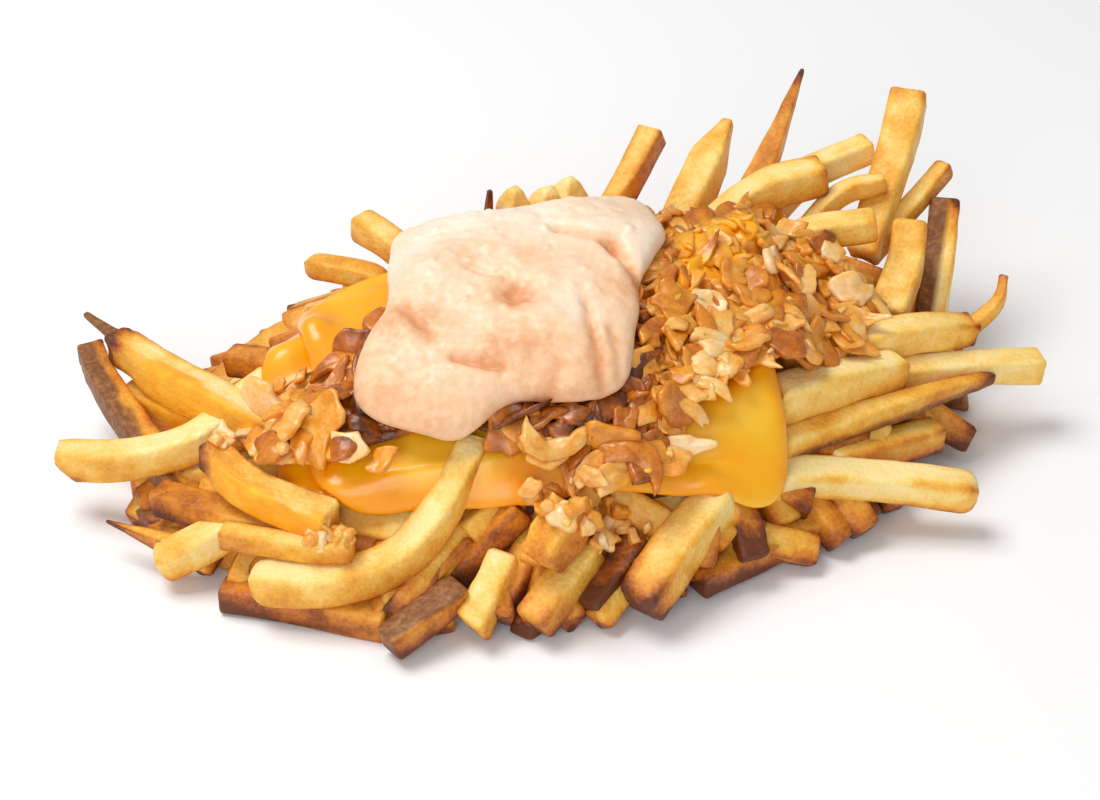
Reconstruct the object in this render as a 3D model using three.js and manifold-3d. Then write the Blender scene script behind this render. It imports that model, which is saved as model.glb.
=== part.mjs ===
// Animal style fries: a loose heap of fresh-cut potato fries, some with skin on, under two melted
// cheese slices, chopped grilled onions and a thick spoonful of pink sauce. Millimetres, +Z up.
// The heap lies on its flat underside. The front of the heap faces -Y.
import * as THREE from "three";
import { mergeVertices } from "three/addons/utils/BufferGeometryUtils.js";
import Module from "manifold-3d";

const wasm = await Module();
wasm.setup();

// Driving dimensions of the heap, whose outline on the table is an ellipse turned a little. A shoulder
// at the back of its right end carries the fries that stand up there.
const heapHalfLength = 90;
const heapHalfWidth = 60;
const heapHeight = 34;
const heapTurn = THREE.MathUtils.degToRad(14);
const heapCentre = { x: -2, y: -3 };
const heapRoundness = 2.4;
const shoulder = { x: 58, y: 28, rise: 13, reachX: 28, reachY: 24 };
const coreShare = 0.79;
const coreDepth = 7;

// Driving dimensions of the food.
const fryWidth = 6.4;
const looseFries = 40;
const baseFries = 16;
const sliceSide = 84;
const sliceThickness = 2.3;
const onionDepth = 3.4;
const onionBits = 25;
const sauceThickness = 6.6;
const gap = 0.4;

// The photograph's view, from which the fries that show in it are placed: a point is where the line
// of sight through a pixel reaches a stated height over the table.
const picture = { width: 1100, height: 800 };
const pixelsPerMillimetre = 5.38;
const viewDistance = 450;
const viewElevation = THREE.MathUtils.degToRad(36);
const viewTarget = new THREE.Vector3(-2, -8, 15);
const viewForward = new THREE.Vector3(0, Math.cos(viewElevation), -Math.sin(viewElevation));
const viewUp = new THREE.Vector3(0, Math.sin(viewElevation), Math.cos(viewElevation));
const viewPoint = viewTarget.clone().addScaledVector(viewForward, -viewDistance);

function placed([column, row, height]) {
  const perMillimetre = pixelsPerMillimetre * viewDistance;
  const sight = viewForward.clone();
  sight.x += (column - picture.width / 2) / perMillimetre;
  sight.addScaledVector(viewUp, (picture.height / 2 - row) / perMillimetre);
  return viewPoint.clone().addScaledVector(sight, (height - viewPoint.z) / sight.z);
}

// A seeded draw of numbers from 0 to 1, the same on every run.
function randomFrom(seed) {
  let state = seed;
  return () => {
    state = (state + 0x6d2b79f5) | 0;
    let mixed = Math.imul(state ^ (state >>> 15), 1 | state);
    mixed = (mixed + Math.imul(mixed ^ (mixed >>> 7), 61 | mixed)) ^ mixed;
    return ((mixed ^ (mixed >>> 14)) >>> 0) / 4294967296;
  };
}

const smooth = THREE.MathUtils.smoothstep;
const mix = THREE.MathUtils.lerp;

// How far out a point of the plan lies in an ellipse: 0 at its centre and 1 at its edge.
function ellipseShare(x, y, ellipse) {
  const dx = x - ellipse.x;
  const dy = y - ellipse.y;
  const along = (dx * Math.cos(ellipse.turn) + dy * Math.sin(ellipse.turn)) / ellipse.halfLength;
  const across = (dy * Math.cos(ellipse.turn) - dx * Math.sin(ellipse.turn)) / ellipse.halfWidth;
  return Math.hypot(along, across);
}

const footprint = { ...heapCentre, halfLength: heapHalfLength, halfWidth: heapHalfWidth, turn: heapTurn };

// A point of the plan at a share of the way from the middle of an ellipse to its edge.
function ellipsePoint(share, angle, ellipse) {
  const along = ellipse.halfLength * share * Math.cos(angle);
  const across = ellipse.halfWidth * share * Math.sin(angle);
  return {
    x: ellipse.x + along * Math.cos(ellipse.turn) - across * Math.sin(ellipse.turn),
    y: ellipse.y + along * Math.sin(ellipse.turn) + across * Math.cos(ellipse.turn),
  };
}

// Height of the bed: the surface that the uppermost fries reach and the toppings lie on.
function bedHeight(x, y) {
  const share = ellipseShare(x, y, footprint);
  const dome = share < 1 ? heapHeight * (1 - share ** heapRoundness) : 0;
  const away = ((x - shoulder.x) / shoulder.reachX) ** 2 + ((y - shoulder.y) / shoulder.reachY) ** 2;
  return dome + shoulder.rise * Math.exp(-away);
}

// A closed three.js geometry as a solid for cutting and joining.
function solidOf(geometry) {
  const bare = geometry.clone();
  bare.deleteAttribute("normal");
  bare.deleteAttribute("uv");
  const merged = mergeVertices(bare, 1e-4);
  const corners = merged.index.array;
  const kept = [];
  for (let i = 0; i < corners.length; i += 3) {
    const [a, b, c] = [corners[i], corners[i + 1], corners[i + 2]];
    if (a !== b && b !== c && c !== a) kept.push(a, b, c);
  }
  return new wasm.Manifold(
    new wasm.Mesh({
      numProp: 3,
      vertProperties: new Float32Array(merged.attributes.position.array),
      triVerts: new Uint32Array(kept),
    }),
  );
}

function geometryOf(solid) {
  const mesh = solid.getMesh();
  const points = new Float32Array(mesh.numVert * 3);
  for (let i = 0; i < mesh.numVert; i++) {
    const start = i * mesh.numProp;
    points.set(mesh.vertProperties.subarray(start, start + 3), i * 3);
  }
  const geometry = new THREE.BufferGeometry();
  geometry.setAttribute("position", new THREE.BufferAttribute(points, 3));
  geometry.setIndex(new THREE.BufferAttribute(mesh.triVerts.slice(), 1));
  return geometry;
}

const joined = (solids) => solids.reduce((whole, piece) => whole.add(piece));
const cutBy = (solid, cutters) => cutters.reduce((left, cutter) => left.subtract(cutter), solid);

// The largest body of a solid, with any hollow that joining sealed filled and loose scraps dropped.
function wholeBody(solid) {
  return solid.decompose().reduce((most, body) => (body.volume() > most.volume() ? body : most));
}

// Moves each vertex of a geometry to where the function says.
function reshape(geometry, move) {
  const position = geometry.attributes.position;
  const point = new THREE.Vector3();
  for (let i = 0; i < position.count; i++) {
    point.fromBufferAttribute(position, i);
    move(point);
    position.setXYZ(i, point.x, point.y, point.z);
  }
  return geometry;
}

// FRIES

// A fry's cut section, one unit wide: a square, with its corners taken off on the fries that show.
function frySection(chamfered) {
  const half = 0.5;
  const corner = 0.36;
  if (!chamfered) {
    return new THREE.Shape([
      new THREE.Vector2(half, -half),
      new THREE.Vector2(half, half),
      new THREE.Vector2(-half, half),
      new THREE.Vector2(-half, -half),
    ]);
  }
  return new THREE.Shape([
    new THREE.Vector2(half, -corner),
    new THREE.Vector2(half, corner),
    new THREE.Vector2(corner, half),
    new THREE.Vector2(-corner, half),
    new THREE.Vector2(-half, corner),
    new THREE.Vector2(-half, -corner),
    new THREE.Vector2(-corner, -half),
    new THREE.Vector2(corner, -half),
  ]);
}

// A fry along a curve from its outer end, which is eased off over endRound of its length. A pointed
// one narrows to tip times its width there.
function frySolid({ path, width, roll = 0, tip = 1, taper = 0.75, chamfered = true }, grow = 0) {
  const curve =
    path.length > 2
      ? new THREE.CatmullRomCurve3(path, false, "catmullrom", 0.5)
      : new THREE.LineCurve3(path[0], path[1]);
  const endRound = 0.05;
  const lengths = path.length > 2 ? path.length : 1;
  const stations = chamfered ? [0, endRound] : [0];
  for (let i = 1; i < lengths; i++) stations.push(mix(endRound, 1, i / lengths));
  stations.push(1);
  const steps = stations.length - 1;
  const sweep = { depth: steps, steps, bevelEnabled: false };
  const bar = new THREE.ExtrudeGeometry(frySection(chamfered), sweep);
  const vertical = new THREE.Vector3(0, 0, 1);
  const turn = THREE.MathUtils.degToRad(roll);
  const rings = stations.map((share) => {
    const centre = curve.getPoint(share);
    const tangent = curve.getTangent(share);
    const side = new THREE.Vector3().crossVectors(vertical, tangent).normalize();
    const up = new THREE.Vector3().crossVectors(tangent, side);
    side.applyAxisAngle(tangent, turn);
    up.applyAxisAngle(tangent, turn);
    const narrowed = mix(tip, 1, Math.min(1, share / taper));
    const eased = chamfered && share === 0 ? 0.8 : 1;
    if (share === 0) centre.addScaledVector(tangent, -grow);
    return { centre, side, up, size: width * narrowed * eased + 2 * grow };
  });
  reshape(bar, (point) => {
    const ring = rings[Math.round(point.z)];
    const across = point.x * ring.size;
    const high = point.y * ring.size;
    point.copy(ring.centre).addScaledVector(ring.side, across).addScaledVector(ring.up, high);
  });
  return solidOf(bar);
}

// The fries that show in the photograph, from the outer end inwards. Each point of a path is a
// column and a row of the photograph and a height over the table. A root is the place in plan where a
// hidden inner end dips into the bed.
const shownFries = [
  // The left end of the heap.
  {
    name: "left_long",
    path: [[64, 461, 11], [130, 459, 14], [198, 440, 18], [256, 392, 23], [325, 345, 28]],
    width: 5.6,
  },
  {
    name: "left_dark",
    path: [[90, 350, 16], [108, 388, 15], [150, 450, 12], [190, 500, 9]],
    width: 5.4,
  },
  {
    name: "left_rough",
    path: [[118, 343, 20], [170, 378, 21], [235, 412, 22], [290, 440, 21]],
    width: 6,
  },
  { name: "left_under", path: [[128, 395, 12], [215, 425, 15], [280, 455, 14]], width: 6.6 },
  { name: "left_flake", path: [[85, 314, 21], [130, 347, 20]], width: 2.4, tip: 0.4 },
  { name: "left_stub", path: [[230, 360, 24], [300, 368, 27]], width: 5 },
  { name: "upper_left_low", path: [[306, 264, 25], [370, 277, 26]], width: 4.8, root: [-34, 16] },
  { name: "upper_left_high", path: [[356, 222, 30], [390, 243, 29]], width: 5, root: [-25, 20] },
  { name: "left_skin", path: [[210, 450, 22], [250, 487, 20], [332, 522, 18]], width: 5.8 },
  { name: "left_thorn", path: [[106, 521, 7], [190, 552, 7]], width: 3.4, tip: 0.15 },
  { name: "left_fat", path: [[156, 564, 5], [200, 545, 8], [255, 512, 12]], width: 7 },
  { name: "left_thin", path: [[222, 535, 13], [300, 547, 14], [352, 550, 15]], width: 4 },
  { name: "left_block", path: [[158, 497, 10], [240, 520, 12], [300, 530, 12]], width: 6 },
  { name: "base_left", path: [[222, 594, 3], [300, 606, 3], [388, 622, 3]], width: 5.4 },
  // The front, where the ends point at the viewer.
  {
    name: "bent",
    path: [[250, 580, 8], [330, 583, 9], [400, 558, 13], [445, 505, 22], [486, 440, 32]],
    width: 6.4,
  },
  { name: "front_skin", path: [[388, 645, 4], [462, 590, 8]], width: 5.2 },
  { name: "front_a", path: [[477, 627, 4], [502, 565, 9]], width: 5.6 },
  { name: "front_tip", path: [[506, 550, 17], [490, 600, 11]], width: 4.2, tip: 0.3 },
  { name: "front_b", path: [[533, 625, 4], [590, 545, 12]], width: 6.2 },
  { name: "front_shade", path: [[594, 596, 5], [640, 520, 15]], width: 5.6 },
  { name: "front_big", path: [[641, 598, 5], [672, 557, 9]], width: 6.8, root: [26, -39] },
  { name: "front_dark_end", path: [[754, 560, 6], [740, 518, 11]], width: 6, root: [27, -37] },
  { name: "base_right", path: [[696, 582, 4], [770, 546, 4], [864, 498, 4]], width: 6.2 },
  // The right end.
  {
    name: "right_long",
    path: [[978, 493, 9], [880, 481, 11], [790, 478, 13]],
    width: 6.8,
    root: [26, -36],
  },
  {
    name: "right_taper",
    path: [[994, 376, 15], [900, 405, 17], [790, 441, 18]],
    width: 6.6,
    tip: 0.3,
    root: [26, -33],
  },
  {
    name: "right_fat",
    path: [[898, 370, 20], [840, 382, 23], [775, 402, 24]],
    width: 7.2,
    root: [28, -27],
  },
  { name: "right_blunt", path: [[1040, 366, 14], [960, 368, 16], [850, 378, 19]], width: 5.6 },
  { name: "right_rough", path: [[972, 330, 20], [910, 334, 23]], width: 6, root: [42, -8] },
  { name: "right_curl", path: [[1004, 275, 29], [997, 303, 24], [970, 328, 20]], width: 2.6, tip: 0.6 },
  { name: "right_under", path: [[938, 434, 9], [830, 465, 12]], width: 5.6 },
  // The back of the right end, where the ends stand up.
  { name: "back_broad", path: [[910, 222, 33], [905, 265, 27]], width: 7, root: [62, 10] },
  { name: "back_knob", path: [[945, 200, 30], [940, 255, 22], [930, 320, 15]], width: 5.8 },
  { name: "back_small", path: [[948, 165, 35]], width: 4, root: [60, 28] },
  { name: "back_tall", path: [[909, 95, 46], [896, 150, 39]], width: 7, root: [59, 27] },
  { name: "back_short", path: [[876, 224, 36], [810, 234, 34]], width: 6, root: [42, 20] },
  { name: "back_long", path: [[824, 176, 38], [760, 194, 36]], width: 6.2, root: [24, 25] },
  { name: "back_wide", path: [[870, 147, 38], [800, 180, 34]], width: 5.4, root: [36, 32] },
  { name: "back_bit", path: [[885, 183, 37], [840, 195, 35]], width: 3.4, root: [46, 28] },
  { name: "back_spike", path: [[803, 69, 46], [775, 140, 39]], width: 5.6, tip: 0.15, root: [34, 33] },
  {
    name: "back_point",
    path: [[729, 120, 42], [704, 172, 36]],
    width: 7,
    tip: 0.3,
    taper: 0.4,
    root: [22, 31],
  },
  { name: "back_brown", path: [[653, 133, 39], [628, 182, 33]], width: 5.2, root: [5, 34] },
  { name: "peek_dark", path: [[490, 190, 36]], width: 2.8, tip: 0.3, root: [-15, 35] },
  { name: "peek_left", path: [[514, 194, 36]], width: 4, root: [-11, 36] },
  { name: "peek_right", path: [[570, 186, 36]], width: 4.8, root: [0, 38] },
];

const rootDepth = 4;

function shownFry(fry) {
  const path = fry.path.map(placed);
  if (fry.root) {
    const [x, y] = fry.root;
    path.push(new THREE.Vector3(x, y, bedHeight(x, y) - rootDepth));
  }
  return { ...fry, path };
}

// The fries that show only in part or not at all, drawn at random. Most lie along the slope with their
// outer ends down, and some lie on the table around the foot of the heap.
const sloping = { middle: [0.6, 0.84], length: [40, 66], spread: THREE.MathUtils.degToRad(50) };
const lying = { middle: [0.78, 0.78], length: [28, 44], spread: THREE.MathUtils.degToRad(75) };
const sunkInFront = [4, 8];
const sunkBehind = [2, 5];
const edgeInFront = 0.88;
const edgeBehind = 0.98;
const edgeDrawnIn = 0.09;

function looseFry(index, draw, kind) {
  const between = ([least, most]) => mix(least, most, draw());
  const goldenAngle = Math.PI * (3 - Math.sqrt(5));
  const middle = ellipsePoint(between(kind.middle), index * goldenAngle, footprint);
  const outwards = Math.atan2(middle.y - heapCentre.y, middle.x - heapCentre.x);
  const heading = outwards + kind.spread * (2 * draw() - 1);
  const half = between(kind.length) / 2;
  const width = fryWidth * mix(0.8, 1.08, draw());
  const behind = 1 - smooth(Math.abs(outwards - THREE.MathUtils.degToRad(75)), 0.9, 1.45);
  const sunk = mix(between(sunkInFront), between(sunkBehind), behind);
  const frontRight = smooth(Math.cos(outwards + Math.PI / 6), 0.5, 1);
  const edge = mix(edgeInFront, edgeBehind, behind) - edgeDrawnIn * frontRight;
  const at = (along, inwards) => ({
    x: middle.x + (along - inwards) * Math.cos(heading),
    y: middle.y + (along - inwards) * Math.sin(heading),
  });
  let inwards = 0;
  while (ellipseShare(at(half, inwards).x, at(half, inwards).y, footprint) > edge) inwards += 1;
  const end = (along) => {
    const { x, y } = at(along, inwards);
    const onTable = width / 2;
    const height = kind === lying ? onTable : Math.max(bedHeight(x, y) - sunk, onTable);
    return new THREE.Vector3(x, y, height);
  };
  const roll = kind === lying ? 0 : 90 * draw();
  return { path: [end(half), end(-half)], width, roll, chamfered: false };
}

function looseFryList() {
  const draw = randomFrom(7);
  const drawn = (count, kind) => Array.from({ length: count }, (_, i) => looseFry(i, draw, kind));
  return [...drawn(looseFries, sloping), ...drawn(baseFries, lying)];
}

// LAYERS

// A closed body between two heights over an outline in plan. Each pair of the profile is a share of
// the way from the middle to the outline and a share of the way from the underside to the top.
function layerSolid({ middle, edge, segments, profile, underside, top }, grow = 0) {
  const rings = profile.map(([out, up]) => new THREE.Vector2(out, up));
  const body = new THREE.LatheGeometry(rings, segments);
  reshape(body, (point) => {
    const out = Math.hypot(point.x, point.z);
    const rim = edge(Math.atan2(-point.z, point.x));
    const reach = Math.hypot(rim.x - middle.x, rim.y - middle.y);
    const stretch = (out * (reach + grow)) / reach;
    const x = middle.x + (rim.x - middle.x) * stretch;
    const y = middle.y + (rim.y - middle.y) * stretch;
    point.set(x, y, mix(underside(x, y) - grow, top(x, y) + grow, point.y));
  });
  return solidOf(body);
}

// A closed curve in plan through a few points.
function planCurve(points) {
  return new THREE.CatmullRomCurve3(
    points.map(([x, y]) => new THREE.Vector3(x, y, 0)),
    true,
  );
}

// The point of a closed curve that lies at an angle round its middle.
function outlineAround(middle, curve) {
  const points = curve.getPoints(720).slice(0, -1);
  const angles = points.map(({ x, y }) => Math.atan2(y - middle.y, x - middle.x));
  const apart = (a, b) => Math.abs(Math.atan2(Math.sin(a - b), Math.cos(a - b)));
  return (angle) => {
    let nearest = 0;
    angles.forEach((other, i) => {
      if (apart(other, angle) < apart(angles[nearest], angle)) nearest = i;
    });
    return points[nearest];
  };
}

const flatProfile = (shares) => [
  ...shares.map((share) => [share, 0]),
  ...shares.toReversed().map((share) => [share, 1]),
];

// The core that the shown pieces are fused on: shallower where the fries show than under the toppings.
const covered = { x: 2, y: -8, halfLength: 56, halfWidth: 40, turn: THREE.MathUtils.degToRad(8) };

function coreHeight(x, y) {
  const bare = smooth(ellipseShare(x, y, covered), 0.85, 1.15);
  return Math.max(bedHeight(x, y) - mix(gap, coreDepth, bare), 1.5);
}

function heapCore() {
  return layerSolid({
    middle: heapCentre,
    edge: (angle) => ellipsePoint(coreShare, angle, footprint),
    segments: 32,
    profile: flatProfile([0, 0.25, 0.48, 0.68, 0.86, 1]),
    underside: () => 0,
    top: coreHeight,
  });
}

// CHEESE

// A slice's outline: a rectangle whose corners have drawn in as it melted. The hidden back edges have
// slumped between the fries, so a slice is less deep than it is wide.
const backSlice = {
  x: -7,
  y: -16,
  turn: THREE.MathUtils.degToRad(12),
  halfLength: sliceSide / 2 + 3,
  halfWidth: 22,
};
const frontSlice = {
  x: -4,
  y: -13,
  turn: THREE.MathUtils.degToRad(7),
  halfLength: sliceSide / 2,
  halfWidth: 31,
};

function slicePoint(slice, angle) {
  const squareness = 7;
  const sum = Math.abs(Math.cos(angle)) ** squareness + Math.abs(Math.sin(angle)) ** squareness;
  const wave = 1 + 0.025 * Math.sin(7 * angle + 1);
  return ellipsePoint(wave * sum ** (-1 / squareness), angle, slice);
}

// How far a slice lifts what lies over it, with an easy slope down past its edge.
function sliceLift(slice, x, y) {
  const share = ellipseShare(x, y, slice);
  const angle = Math.atan2(y - slice.y, x - slice.x) - slice.turn;
  const squared = Math.atan2(Math.sin(angle) / slice.halfWidth, Math.cos(angle) / slice.halfLength);
  const rim = ellipseShare(slicePoint(slice, squared).x, slicePoint(slice, squared).y, slice);
  return (sliceThickness + 2 * gap) * (1 - smooth(share / rim, 1.03, 1.2));
}

function sliceLayer(slice, underside) {
  return {
    middle: slice,
    edge: (angle) => slicePoint(slice, angle),
    segments: 36,
    profile: flatProfile([0, 0.35, 0.65, 0.87, 1]),
    underside,
    top: (x, y) => underside(x, y) + sliceThickness,
  };
}

const backSliceLayer = sliceLayer(backSlice, (x, y) => bedHeight(x, y) + gap);
const frontSliceLayer = sliceLayer(
  frontSlice,
  (x, y) => bedHeight(x, y) + gap + sliceLift(backSlice, x, y),
);

// ONIONS

// What the onions and the sauce lie on: the bed with the slices over it.
function cheeseTop(x, y) {
  return bedHeight(x, y) + sliceLift(backSlice, x, y) + sliceLift(frontSlice, x, y);
}

const onionFloor = (x, y) => cheeseTop(x, y) + 2.5 * gap;

// The onions' edge in plan, anticlockwise from the right end: broad at the right and in front, where
// they leave the cheese bare at its right front corner, and narrow at the left.
const onionMiddle = { x: 0, y: -16 };
const onionEdge = planCurve([
  [58, 1], [55, 9], [45, 16], [33, 19], [18, 17], [0, 10], [-18, 1], [-29, -14], [-36, -23], [-46, -25],
  [-53, -31], [-51, -37], [-43, -41], [-30, -39], [-14, -38], [0, -42], [12, -42], [20, -37], [25, -29],
  [36, -22], [50, -11],
]);

const onionLayer = {
  middle: onionMiddle,
  edge: outlineAround(onionMiddle, onionEdge),
  segments: 36,
  profile: flatProfile([0, 0.3, 0.6, 0.85, 1]),
  underside: onionFloor,
  top: (x, y) => {
    const lumps = 0.7 * Math.sin(x / 4.1 + 1.3) * Math.cos(y / 3.7) + 0.5 * Math.sin((x + y) / 2.9);
    const depth = mix(sauceBedding, onionDepth + lumps, smooth(sauceShare(x, y), 0.8, 1.05));
    return onionFloor(x, y) + depth;
  },
};

// A chopped piece: a scrap of an onion's layers, thin for its width, lying at a slant.
function onionBit({ x, y, size, tilt }, grow = 0) {
  const sides = [size, size * 0.7, size * 0.4].map((side) => side + 2 * grow);
  const bit = new THREE.BoxGeometry(...sides);
  reshape(bit, (point) => {
    point.applyEuler(tilt);
    point.x += x;
    point.y += y;
    point.z += onionFloor(x, y) + onionDepth;
  });
  return solidOf(bit);
}

// SAUCE

// The edge of the spoonful in plan, anticlockwise from its right side: a broad lobe in front, which runs
// to a drip at its left front, and a smaller lobe behind it.
const sauceMiddle = { x: -10, y: -13 };
const sauceEdge = planCurve([
  [14, -12], [17, -4], [19, 3], [14, 13], [5, 18], [-7, 14], [-20, 9], [-30, 4], [-31, -7], [-31, -20],
  [-36, -31], [-34, -38], [-26, -42], [-17, -43], [-8, -38], [4, -37], [11, -33], [13, -22],
]);
const sauceBedding = 1;
const sauceFloor = (x, y) => onionFloor(x, y) + sauceBedding + 2 * gap;

const sauceLayer = {
  middle: sauceMiddle,
  edge: outlineAround(sauceMiddle, sauceEdge),
  segments: 40,
  profile: [
    [0, 0], [0.5, 0], [0.85, 0], [0.96, 0.1], [1, 0.4],
    [0.97, 0.72], [0.88, 0.93], [0.7, 1], [0.4, 1], [0, 1],
  ],
  underside: sauceFloor,
  top: (x, y) => {
    const fold = { depth: 2.4, at: 3, width: 3.2 };
    const away = (x * 0.72 + y * 0.69 - fold.at) / fold.width;
    const swell = 0.8 * Math.sin(x / 8 + 0.6) * Math.cos(y / 9);
    return sauceFloor(x, y) + sauceThickness + swell - fold.depth * Math.exp(-away * away);
  },
};

// How far out a point lies in the sauce: 1 at its edge.
function sauceShare(x, y) {
  const rim = sauceLayer.edge(Math.atan2(y - sauceMiddle.y, x - sauceMiddle.x));
  const reach = Math.hypot(rim.x - sauceMiddle.x, rim.y - sauceMiddle.y);
  return Math.hypot(x - sauceMiddle.x, y - sauceMiddle.y) / reach;
}

// ASSEMBLY

// The chopped onions that show singly, drawn at random outside the sauce.
function onionBitList() {
  const draw = randomFrom(23);
  const slant = 0.55;
  const bits = [];
  while (bits.length < onionBits) {
    const out = Math.sqrt(draw());
    const rim = onionLayer.edge(2 * Math.PI * draw() - Math.PI);
    const x = mix(onionMiddle.x, rim.x, out);
    const y = mix(onionMiddle.y, rim.y, out);
    const size = mix(5, 8, draw());
    const tilt = new THREE.Euler(slant * (2 * draw() - 1), slant * (2 * draw() - 1), Math.PI * draw());
    if (sauceShare(x, y) > 1.12) bits.push({ x, y, size, tilt });
  }
  return bits;
}

const shown = shownFries.map(shownFry);
const bentFry = shown.find((fry) => fry.name === "bent");
const bentCutter = frySolid(bentFry, gap);

const backCheese = layerSolid(backSliceLayer);
const frontCheese = layerSolid(frontSliceLayer);
const cheeseCutters = [layerSolid(backSliceLayer, gap), layerSolid(frontSliceLayer, gap)];
const bits = onionBitList();
const onions = joined([layerSolid(onionLayer), ...bits.map((bit) => onionBit(bit))]);
const onionCutter = joined([layerSolid(onionLayer, gap), ...bits.map((bit) => onionBit(bit, gap))]);
const sauce = layerSolid(sauceLayer);
const sauceCutter = layerSolid(sauceLayer, gap);

const everyFry = [...shown, ...looseFryList()];
const heap = joined([heapCore(), ...everyFry.map((fry) => frySolid(fry))]).trimByPlane([0, 0, 1], 0);
const toppings = joined([...cheeseCutters, onionCutter, sauceCutter]);

const nodes = {
  fries: wholeBody(heap.subtract(toppings.subtract(frySolid(bentFry)))),
  cheese_slice_back: wholeBody(cutBy(backCheese, [bentCutter])),
  cheese_slice_front: wholeBody(cutBy(frontCheese, [bentCutter, cheeseCutters[0]])),
  grilled_onions: wholeBody(cutBy(onions, [bentCutter, cheeseCutters[1], sauceCutter])),
  sauce: wholeBody(cutBy(sauce, [bentCutter])),
};

const finishes = {
  fries: { color: 0xe3b05c, roughness: 0.6 },
  cheese_slice_back: { color: 0xf0a62c, roughness: 0.35 },
  cheese_slice_front: { color: 0xf2ab2e, roughness: 0.3 },
  grilled_onions: { color: 0xb9762f, roughness: 0.35 },
  sauce: { color: 0xf2c8a8, roughness: 0.35 },
};

// The group is moved so that its origin lies on the table under the middle of its outline.
const outlineMiddleY = -1.1;
const root = new THREE.Group();
root.position.y = -outlineMiddleY;
for (const [name, solid] of Object.entries(nodes)) {
  const mesh = new THREE.Mesh(
    geometryOf(solid),
    new THREE.MeshStandardMaterial({ ...finishes[name], metalness: 0 }),
  );
  mesh.name = name;
  root.add(mesh);
}

export default root;
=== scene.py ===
"""Animal style fries: fresh-cut fries, some with skin on, under two melted cheese slices, chopped grilled
onions and a thick spoonful of pink sauce. Lengths are millimetres until a mesh is made, +Z up."""

import math
from itertools import product

import bpy
import numpy as np
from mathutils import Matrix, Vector
from mathutils.bvhtree import BVHTree


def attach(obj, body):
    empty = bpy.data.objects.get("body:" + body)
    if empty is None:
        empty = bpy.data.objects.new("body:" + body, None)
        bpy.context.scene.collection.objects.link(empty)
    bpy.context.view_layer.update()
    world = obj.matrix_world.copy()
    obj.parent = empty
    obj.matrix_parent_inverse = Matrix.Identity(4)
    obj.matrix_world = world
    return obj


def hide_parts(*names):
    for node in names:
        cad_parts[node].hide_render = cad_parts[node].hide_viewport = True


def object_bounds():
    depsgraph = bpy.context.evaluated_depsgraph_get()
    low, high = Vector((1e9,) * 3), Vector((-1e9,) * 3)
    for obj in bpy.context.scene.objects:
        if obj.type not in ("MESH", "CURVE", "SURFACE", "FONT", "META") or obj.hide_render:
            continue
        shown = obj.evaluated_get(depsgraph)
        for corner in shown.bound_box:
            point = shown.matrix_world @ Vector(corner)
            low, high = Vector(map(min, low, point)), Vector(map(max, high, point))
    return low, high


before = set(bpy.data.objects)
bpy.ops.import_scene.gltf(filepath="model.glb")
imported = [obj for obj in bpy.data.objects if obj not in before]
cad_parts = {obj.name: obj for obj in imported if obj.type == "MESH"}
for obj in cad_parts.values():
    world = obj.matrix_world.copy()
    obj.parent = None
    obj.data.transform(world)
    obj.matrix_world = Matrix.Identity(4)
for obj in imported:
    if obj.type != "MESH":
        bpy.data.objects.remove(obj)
cad_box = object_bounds()

MM = 0.001
OUTLINE_MIDDLE_Y = -1.1

# The heap, whose outline on the table is an ellipse turned a little, with a shoulder at its right back.
HEAP = {"x": -2, "y": -3, "half_length": 90, "half_width": 60, "turn": math.radians(14)}
HEAP_HEIGHT = 34
HEAP_ROUNDNESS = 2.4
SHOULDER = {"x": 58, "y": 28, "rise": 13, "reach_x": 28, "reach_y": 24}
COVERED = {"x": 2, "y": -8, "half_length": 56, "half_width": 40, "turn": math.radians(8)}
FRY_WIDTH = 6.4
SLICE_THICKNESS = 2.3
ONION_DEPTH = 3.4
SAUCE_THICKNESS = 6.6
GAP = 0.4

# The photograph's view, from which the pieces that show in it are placed.
PICTURE = (1100, 800)
PIXELS_PER_MM = 5.38
VIEW_DISTANCE = 450
VIEW_ELEVATION = math.radians(36)
VIEW_TARGET = np.array([-2.0, -8.0, 15.0])
VIEW_FORWARD = np.array([0, math.cos(VIEW_ELEVATION), -math.sin(VIEW_ELEVATION)])
VIEW_UP = np.array([0, math.sin(VIEW_ELEVATION), math.cos(VIEW_ELEVATION)])
VIEW_POINT = VIEW_TARGET - VIEW_DISTANCE * VIEW_FORWARD


def placed(column, row, height):
    """The point at a height over the table on the line of sight through a pixel of the photograph."""
    per_mm = PIXELS_PER_MM * VIEW_DISTANCE
    sight = VIEW_FORWARD + VIEW_UP * (PICTURE[1] / 2 - row) / per_mm
    sight = sight + np.array([(column - PICTURE[0] / 2) / per_mm, 0, 0])
    return VIEW_POINT + sight * (height - VIEW_POINT[2]) / sight[2]


def random_from(seed):
    """A seeded draw of numbers from 0 to 1, the same as in the part's own source."""
    low_bits = 0xFFFFFFFF
    state = seed

    def draw():
        nonlocal state
        state = (state + 0x6D2B79F5) & low_bits
        mixed = (state ^ (state >> 15)) * (1 | state) & low_bits
        again = (mixed ^ (mixed >> 7)) * (61 | mixed) & low_bits
        mixed = (mixed + again & low_bits) ^ mixed
        return (mixed ^ (mixed >> 14)) / (low_bits + 1)

    return draw


def mix(a, b, share):
    return a + (b - a) * share


def smooth(value, low, high):
    """An eased step from 0 at low to 1 at high."""
    share = np.clip((value - low) / (high - low), 0, 1)
    return share * share * (3 - 2 * share)


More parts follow.
